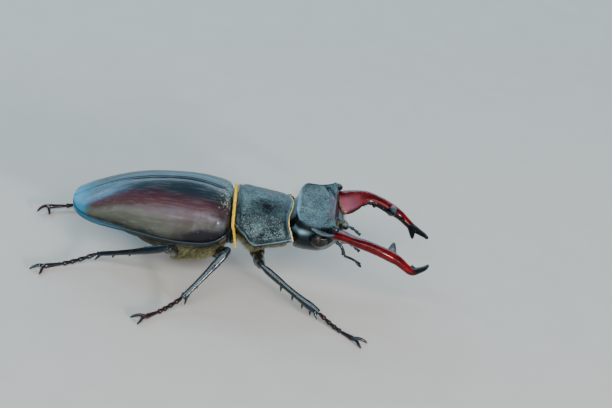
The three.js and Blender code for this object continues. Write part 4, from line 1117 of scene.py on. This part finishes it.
def club(places):
    """Beads along the feeler's end, the last four with a leaf each that points down and forward."""
    marks = spine(places, np.linspace(0, 1, BEADS + LEAVES + 1))
    parts = []
    for i in range(BEADS + LEAVES):
        start, end = marks[i], marks[i + 1] + (marks[i + 1] - marks[i]) * 0.12
        parts.append(bead(start, end, root=0.19, thick=0.3))
        if i >= BEADS:
            leaf = i - BEADS
            tip = end + np.array([0.25, 0.1, -0.85 + 0.12 * abs(leaf - 1.5)])
            middle = (start + end) / 2
            blade = [
                (*middle, 0.12, 0.14), (*(middle * 0.6 + tip * 0.4), 0.24, 0.12),
                (*(middle * 0.2 + tip * 0.8), 0.22, 0.1), (*tip, 0.06, 0.05),
            ]
            parts.append(skin(sweep(blade, sides=16, steps=12)))
    return together(*parts)


for side, hand in SIDES:
    flip = (1, hand, 1)
    scape_rings = sweep(FEELERS[side]["scape"], sides=24, steps=40) * flip
    scape_piece = build(f"feeler_stem_{side}", skin(scape_rings), in_head, limb_black)
    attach(scape_piece, "root")
    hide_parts(f"antenna_scape_{side}")
    club_points, club_faces = club(FEELERS[side]["club"])
    club_piece = build(f"feeler_comb_{side}", (club_points * flip, club_faces), in_head, limb_black)
    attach(club_piece, "root")
    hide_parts(f"antenna_club_{side}")

# ---------------------------------------------------------------- palps
# A pair of jointed tasters under the upper lip, each of four joints that thicken to their ends. They
# are of the limbs' polished black chitin.
PALP = [(22.3, 3.1, -0.9), (23.5, 3.2, -0.5), (24.7, 3.3, -1.1), (25.6, 3.3, -1.8), (26.1, 3.3, -2.2)]
for side, hand in SIDES:
    joints = spine(PALP, np.linspace(0, 1, 5))
    parts = [bead(a, b, root=0.22, thick=0.36) for a, b in zip(joints[:-1], joints[1:])]
    palp_points, palp_faces = together(*parts)
    palp = build(f"taster_{side}", (palp_points * (1, hand, 1), palp_faces), in_head, limb_black)
    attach(palp, "root")
    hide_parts(f"palp_{side}")

# ---------------------------------------------------------------- legs
# Six legs of a ball hip, a club-shaped thigh, a ridged shin with spines and two spurs, and a foot of
# five joints with a pair of hooked claws. Places are from the floor under the waist.
LEGS = {
    "fore_right": {
        "hip": (6.4, -3.6, 5.6), "knee": (7.3, -13.8, 8.3), "ankle": (19.4, -17.2, 2.0),
        "toe": (26.4, -22.2, 0.55), "heading": -30,
    },
    "mid_right": {
        "hip": (-1.5, -3.6, 4.4), "knee": (0.6, -12.9, 10.0), "ankle": (-6.66, -19.5, 2.0),
        "toe": (-12.9, -25.8, 0.6), "heading": 215,
    },
    "hind_right": {
        "hip": (-8.4, -3.8, 3.7), "knee": (-10.8, -13.1, 8.5), "ankle": (-24.1, -8.4, 2.0),
        "toe": (-33.6, -13.7, 0.6), "heading": 235,
    },
    "fore_left": {
        "hip": (6.4, 3.6, 5.6), "knee": (5.2, 13.9, 8.3), "ankle": (13.6, 22.5, 2.0),
        "toe": (16.9, 30.5, 0.55), "heading": 80,
    },
    "mid_left": {
        "hip": (-1.5, 3.6, 4.4), "knee": (-1.6, 13.2, 10.0), "ankle": (-9.2, 19.6, 2.0),
        "toe": (-16.4, 24.9, 0.6), "heading": 150,
    },
    "hind_left": {
        "hip": (-8.4, 3.8, 3.7), "knee": (-12.4, 13.2, 8.6), "ankle": (-26.4, 13.0, 2.0),
        "toe": (-36.2, 8.7, 0.9), "heading": 260,
    },
}
SPINES = {"fore": [0.35, 0.55, 0.72, 0.86], "mid": [0.45, 0.66, 0.84], "hind": [0.5, 0.74]}
SPINE_REACH = {"fore": 1.8, "mid": 1.25, "hind": 1.1}
SPINE_RADIUS, SPINE_TIP = 0.42, 0.1
SPUR_RADIUS, SPUR_TIP = 0.34, 0.09
COXA_RADII = np.array([1.5, 1.9, 1.5])
FEMUR = {
    "off_start": 0.9, "off_end": 0.3, "sag": 0.6,
    "widths": [0.5, 0.85, 1.12, 1.15, 1.03, 0.92, 0.84, 0.5],
    "heights": [0.55, 0.95, 1.28, 1.3, 1.13, 0.98, 0.9, 0.55],
}
TIBIA = {"off_start": -0.25, "off_end": 0.1, "sag": 0.25}
SHINS = {
    "fore": {
        "widths": [0.35, 0.66, 0.68, 0.58, 0.58, 0.64, 0.72, 0.55],
        "heights": [0.4, 0.72, 0.72, 0.62, 0.62, 0.72, 0.86, 0.6],
    },
    "mid": {
        "widths": [0.4, 0.78, 0.78, 0.66, 0.61, 0.58, 0.58, 0.45],
        "heights": [0.45, 0.84, 0.83, 0.7, 0.64, 0.6, 0.6, 0.48],
    },
    "hind": {
        "widths": [0.38, 0.7, 0.7, 0.57, 0.5, 0.46, 0.46, 0.36],
        "heights": [0.42, 0.76, 0.74, 0.6, 0.53, 0.48, 0.48, 0.4],
    },
}
TARSUS_JOINTS = [0, 0.165, 0.325, 0.475, 0.615, 1]
TARSUS_SAG = 0.5
CLAW_LENGTH = 2.8
CLAW = [  # share ahead of the toe, sideways in mm, height and thickness
    (-0.12, 0.08, 0.0, 0.34), (0.12, 0.3, 0.22, 0.34), (0.35, 0.65, 0.25, 0.3),
    (0.6, 1.05, -0.02, 0.25), (0.76, 1.2, -0.25, 0.19), (0.8, 1.24, -0.4, 0.12),
]


def limb(start, end, shape, sides, steps, edges):
    """One long joint that arches between its ends and swells as its shape says."""
    start, end = np.array(start, float), np.array(end, float)
    forward = (end - start) / np.linalg.norm(end - start)
    start = start + forward * shape["off_start"]
    end = end - forward * shape["off_end"]
    stations = []
    for i, (wide, high) in enumerate(zip(shape["widths"], shape["heights"])):
        t = i / (len(shape["widths"]) - 1)
        x, y, z = start + (end - start) * t
        stations.append((x, y, z - shape["sag"] * 4 * t * (1 - t), wide, high))
    return skin(sweep(stations, sides, steps, edges))


def hip(leg):
    """The ball of the hip, ringed by a groove, with the small ring joint that carries the thigh."""
    outward = np.array(leg["knee"], float) - leg["hip"]
    outward[2] = 0
    outward /= np.linalg.norm(outward)
    centre = np.array(leg["hip"]) + outward * 0.4
    unit = ball((0, 0, 0), 1, rows=30)
    unit = unit * (1 - 0.08 * bump(unit[..., 1] * outward[1] - 0.55, 0.12))[..., None]
    ring_start = centre + outward * 1.2
    ring_end = np.array(leg["hip"]) + (np.array(leg["knee"]) - leg["hip"]) * 0.2
    return together(skin(centre + unit * COXA_RADII), bead(ring_start, ring_end, root=0.6, thick=0.95))


def shin(pair, leg):
    """A shin with a row of spines down its outer edge and two spurs at its end."""
    knee, ankle = np.array(leg["knee"], float), np.array(leg["ankle"], float)
    forward = (ankle - knee) / np.linalg.norm(ankle - knee)
    outer = np.array([0, 0, -1.0]) + forward * forward[2]
    outer /= np.linalg.norm(outer)
    beside = np.cross(outer, forward)
    parts = [limb(knee, ankle, {**TIBIA, **SHINS[pair]}, sides=28, steps=80, edges=0.06)]
    for share in SPINES[pair]:
        root = knee + (ankle - knee) * share
        point = root + outer * SPINE_REACH[pair] + forward
        parts.append(skin(thorn(root, point, SPINE_RADIUS, SPINE_TIP, sides=12, steps=10)))
    for spread in (-0.45, 0.45):
        root = knee + (ankle - knee) * 0.93 + beside * spread
        point = root + outer * 0.9 + forward * 1.5 + beside * spread
        parts.append(skin(thorn(root, point, SPUR_RADIUS, SPUR_TIP, sides=12, steps=10)))
    return together(*parts)


def foot(leg):
    """Five joints that hang from ankle to toe, and two hooked claws that rest on the floor."""
    ankle, toe = np.array(leg["ankle"], float), np.array(leg["toe"], float)
    start = ankle + 0.1 * (toe - ankle) / np.linalg.norm(toe - ankle)
    parts = []
    for a, b in zip(TARSUS_JOINTS[:-1], TARSUS_JOINTS[1:]):
        ends = []
        for t in (a, b + 0.015):
            place = start + (toe - start) * t
            place[2] = max(place[2] - TARSUS_SAG * 4 * t * (1 - t), 0.5)
            ends.append(place)
        parts.append(bead(*ends, root=0.32, thick=0.5))
    turn = math.radians(leg["heading"])
    ahead = np.array([math.cos(turn), math.sin(turn), 0]) * CLAW_LENGTH
    for hand in (-1, 1):
        beside = np.array([-math.sin(turn), math.cos(turn), 0]) * hand
        stations = []
        for reach, spread, lift, thick in CLAW:
            place = toe + ahead * reach + beside * spread
            stations.append((place[0], place[1], max(toe[2] + lift, thick), thick, thick))
        parts.append(skin(sweep(stations, sides=16, steps=30)))
    points, faces = together(*parts)
    points[:, 2] = np.maximum(points[:, 2], 0.0)
    return points, faces


# Foot chitin: the same polished black, but thin enough that red-brown shows through.
foot_brown, where = finish(
    "red_brown_chitin", Roughness=0.26, Specular_IOR_Level=0.55, Specular_Tint=linear("#c8e0f0"),
    Coat_Weight=0.2, Coat_Roughness=0.12,
)
cloud = add(
    foot_brown, "TexNoise", {"Vector": where, "Scale": per_mm(1.5), "Detail": 4.0, "Roughness": 0.6},
)
tone = add(
    foot_brown, "ValToRGB", [cloud], stops=[(0.35, "#100809"), (0.55, "#230d0c"), (0.75, "#46170f")],
)
paint(foot_brown, "Base Color", tone)
relief = add(foot_brown, "Bump", {"Strength": 0.4, "Distance": 0.03 * MM, "Height": cloud})
paint(foot_brown, "Normal", relief)

for name, leg in LEGS.items():
    pair = name.split("_")[0]
    for part, surface, material, slot in [
        ("coxa", hip(leg), limb_black, "leg"),
        ("femur", limb(leg["hip"], leg["knee"], FEMUR, sides=30, steps=60, edges=0.0), limb_black, "leg"),
        ("tibia", shin(pair, leg), limb_black, "leg"),
        ("tarsus", foot(leg), foot_brown, "foot"),
    ]:
        piece = build(f"{part}_skin_{name}", surface, in_stance, material)
        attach(piece, "root")
        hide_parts(f"{part}_{name}")

# ---------------------------------------------------------------- hair
# Dense golden fringes close the joint behind the pronotum and the one before it, grey-yellow down
# covers the breast, short hair lines the mouth, and orange tufts stand at the hips. Each hair is a thin
# curved spike, rooted in the plate that carries it.
draw = np.random.default_rng(7)
TUFT_PATCH = 0.003  # share of the bake map that one hair takes
HAIR_LEVELS = np.array([0.0, 0.35, 0.7])
HAIR_TAPER = 0.75


def hairs(name, roots, directions, lengths, bake_at, material, thick, droop, place=in_trunk):
    """One mesh of curved three-sided spikes, whose bake map holds a small patch for each."""
    count = len(roots)
    directions = directions / np.linalg.norm(directions, axis=1, keepdims=True)
    beside = np.cross(directions, draw.normal(size=(count, 3)))
    beside /= np.linalg.norm(beside, axis=1, keepdims=True)
    over = np.cross(directions, beside)
    points = []
    for t in HAIR_LEVELS:
        centre = roots + directions * (lengths * t)[:, None] + np.array(droop) * (lengths * t * t)[:, None]
        radius = thick * (1 - HAIR_TAPER * t)
        for k in range(3):
            turn = 2 * math.pi * k / 3
            points.append(centre + radius * (math.cos(turn) * beside + math.sin(turn) * over))
    points.append(roots + directions * lengths[:, None] + np.array(droop) * lengths[:, None])
    per_hair = len(points)
    points = np.stack(points, 1).reshape(-1, 3)
    pattern = []
    for level in range(len(HAIR_LEVELS) - 1):
        for k in range(3):
            a, b = level * 3 + k, level * 3 + (k + 1) % 3
            pattern += [[a, b, b + 3], [a, b + 3, a + 3]]
    top = per_hair - 4
    pattern += [[top, top + 1, top + 3], [top + 1, top + 2, top + 3], [top + 2, top, top + 3], [2, 1, 0]]
    faces = (np.array(pattern)[None] + np.arange(count)[:, None, None] * per_hair).reshape(-1, 3).tolist()
    toward_tip = np.tile(np.r_[np.repeat(HAIR_LEVELS, 3), 1.0], count)
    piece = build(name, (points, faces), place, material, tip=toward_tip)
    patch = np.repeat(bake_at, per_hair, 0)
    patch = patch + TUFT_PATCH * np.stack([np.tile(np.arange(per_hair) % 3 / 3, count), toward_tip], -1)
    mesh = piece.data
    corner = np.zeros(len(mesh.loops), int)
    mesh.loops.foreach_get("vertex_index", corner)
    mesh.uv_layers.new(name="OFBake").data.foreach_set("uv", patch[corner].astype(np.float32).ravel())
    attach(piece, "root")


def hair_finish(name, stops):
    """Fine dry hair: soft and slightly shiny, darker at the root than at the tip."""
    material, where = finish(name, Roughness=0.5, Specular_IOR_Level=0.25)
    lock = add(
        material, "TexNoise", {"Vector": where, "Scale": per_mm(0.6), "Detail": 2.0, "Roughness": 0.6},
    )
    lock = add(material, "Math", (lock, 0.8, -0.4), operation="MULTIPLY_ADD")
    tip = add(material, "Attribute", output="Fac", attribute_name="tip")
    place = add(material, "Math", (tip, lock), operation="ADD")
    paint(material, "Base Color", add(material, "ValToRGB", [place], stops=stops))
    return material


gold_hair = hair_finish("golden_hair", [(0.0, "#b8700a"), (0.25, "#ffc228"), (0.6, "#ffe566")])
pale_hair = hair_finish("pale_yellow_hair", [(0.0, "#a67c2c"), (0.45, "#fdea9c")])
orange_hair = hair_finish("orange_hair", [(0.0, "#5c2f08"), (0.5, "#d98a24")])
down_hair = hair_finish("grey_yellow_down", [(0.0, "#38361f"), (0.5, "#767450"), (0.9, "#a9a884")])


def along_path(path, count):
    """Random places on a line through the given ones, with each place's share of the whole."""
    share = draw.uniform(0, 1, count)
    return spine(path, share), share


# Behind the pronotum the fringe is rooted under the shield's base and lower down on the waist.
FRINGE_ARC = [math.radians(a) for a in (0, 15, 30, 45, 60, 75, 90)]
fringe_path = [(0.0, 6.6 * math.sin(a), 2.2 + 3.7 * math.cos(a)) for a in FRINGE_ARC]
fringe_path += [(0.2, 6.6, 1.5), (0.4, 6.4, 0.5), (0.6, 6.35, -1.0), (0.75, 6.15, -2.0), (0.9, 5.8, -2.9)]
FRINGE_HAIRS = 4200
for side, hand in SIDES:
    roots, share = along_path(fringe_path, FRINGE_HAIRS)
    ahead = draw.uniform(1.0, 1.25, FRINGE_HAIRS)
    roots = roots * (1, hand, 1) + np.stack([ahead, *draw.normal(scale=0.07, size=(2, FRINGE_HAIRS))], -1)
    away = roots * (0, 1, 1) - (0, 0, 1.0)
    away /= np.linalg.norm(away, axis=1, keepdims=True)
    directions = np.array([-1, 0, 0]) + 0.7 * away + draw.normal(scale=0.12, size=(FRINGE_HAIRS, 3))
    lengths = draw.uniform(0.5, 0.75, FRINGE_HAIRS) * (1 - 0.45 * share)
    bake_at = np.stack([0.5 + hand * 0.47 * share, 0.05 + 0.3 * draw.uniform(0, 1, FRINGE_HAIRS)], -1)
    hairs(
        f"rear_fringe_{side}", roots, directions, lengths, bake_at, gold_hair,
        thick=0.035, droop=(-0.1, 0, -0.05),
    )

# Before the pronotum a thin pale fringe lies on the neck.
NECK_HAIRS = 4000
turns = draw.uniform(-1.55, 1.55, NECK_HAIRS)
roots = pronotum_place(np.ones(NECK_HAIRS), turns) * (1, 0.97, 1) + np.array([-0.12, 0, -0.16])
outward = np.stack([0 * turns, np.sin(turns), np.cos(turns)], -1)
directions = np.array([0.9, 0, 0]) + outward * 0.35 + draw.normal(scale=0.12, size=(NECK_HAIRS, 3))
bake_at = np.stack([0.02 + 0.95 * (turns + 1.5) / 3, draw.uniform(0.5, 0.6, NECK_HAIRS)], -1)
lengths = draw.uniform(0.3, 0.5, NECK_HAIRS)
hairs("front_fringe", roots, directions, lengths, bake_at, pale_hair, thick=0.03, droop=(0, 0, -0.1))

# Short dull hair edges the face between the jaws.
MOUTH_HAIRS = 320
face_path = [
    (20.95, 8.0, 3.9), (21.1, 5.0, 3.9), (21.3, 3.3, 3.7), (21.9, 2.8, 3.2), (22.4, 2.3, 2.6),
    (22.5, 0.0, 2.5),
]
for side, hand in SIDES:
    roots, share = along_path(face_path, MOUTH_HAIRS)
    roots = roots * (1, hand, 1) + draw.normal(scale=0.1, size=(MOUTH_HAIRS, 3))
    directions = np.array([0.5, 0, 0.5]) + draw.normal(scale=0.5, size=(MOUTH_HAIRS, 3))
    bake_at = np.stack([0.5 + hand * 0.47 * share, draw.uniform(0.7, 0.8, MOUTH_HAIRS)], -1)
    lengths = draw.uniform(0.2, 0.4, MOUTH_HAIRS)
    hairs(
        f"mouth_hair_{side}", roots, directions, lengths, bake_at, down_hair,
        thick=0.022, droop=(0.1, 0, -0.1), place=in_head,
    )

# Orange tufts stand in the sockets of the fore hips.
HIP_HAIRS = 700
for side, hand in SIDES:
    spread = draw.normal(scale=0.45, size=(HIP_HAIRS, 3))
    roots = np.array([5.6, 5.2, -2.3]) * (1, hand, 1) + spread
    directions = np.array([-0.4, 0.5 * hand, -0.5]) + draw.normal(scale=0.3, size=(HIP_HAIRS, 3))
    bake_at = np.stack([0.5 + hand * (0.2 + 0.1 * spread[:, 0]), 0.9 + 0.03 * spread[:, 2]], -1)
    lengths = draw.uniform(0.4, 0.8, HIP_HAIRS)
    hairs(
        f"hip_tuft_{side}", roots, directions, lengths, bake_at, orange_hair,
        thick=0.03, droop=(0, 0, -0.2),
    )


def on_rings(rings, count, keep):
    """Random places on rings where keep is true, with their outward directions and shares."""
    rows, columns, _ = rings.shape
    outward = normals(rings)
    chosen = np.argwhere(keep(rings))
    pick = chosen[draw.integers(0, len(chosen), count)]
    beside = (pick[:, 1] + 1) % columns
    step = draw.uniform(0, 1, (count, 1))
    roots = rings[pick[:, 0], pick[:, 1]] * (1 - step) + rings[pick[:, 0], beside] * step
    return roots, outward[pick[:, 0], pick[:, 1]], pick / np.array([rows, columns])


# The breast and the fore sternum are downy at the sides, where the legs leave them.
DOWN_HAIRS = 7000
for name, rings, top, at in [
    ("breast_down", breast_rings, -1.2, 0.0), ("sternum_down", sternum_rings, 0.6, 0.5),
]:
    roots, outward, share = on_rings(
        rings, DOWN_HAIRS, lambda place: (place[..., 2] < top) & (np.abs(place[..., 1]) > 1),
    )
    directions = outward * 0.5 + np.array([-0.8, 0, -0.25]) + draw.normal(scale=0.2, size=(DOWN_HAIRS, 3))
    bake_at = np.stack([0.02 + 0.95 * share[:, 1], 0.02 + at + 0.45 * share[:, 0]], -1)
    lengths = draw.uniform(0.45, 0.9, DOWN_HAIRS)
    hairs(name, roots, directions, lengths, bake_at, down_hair, thick=0.03, droop=(-0.2, 0, -0.2))
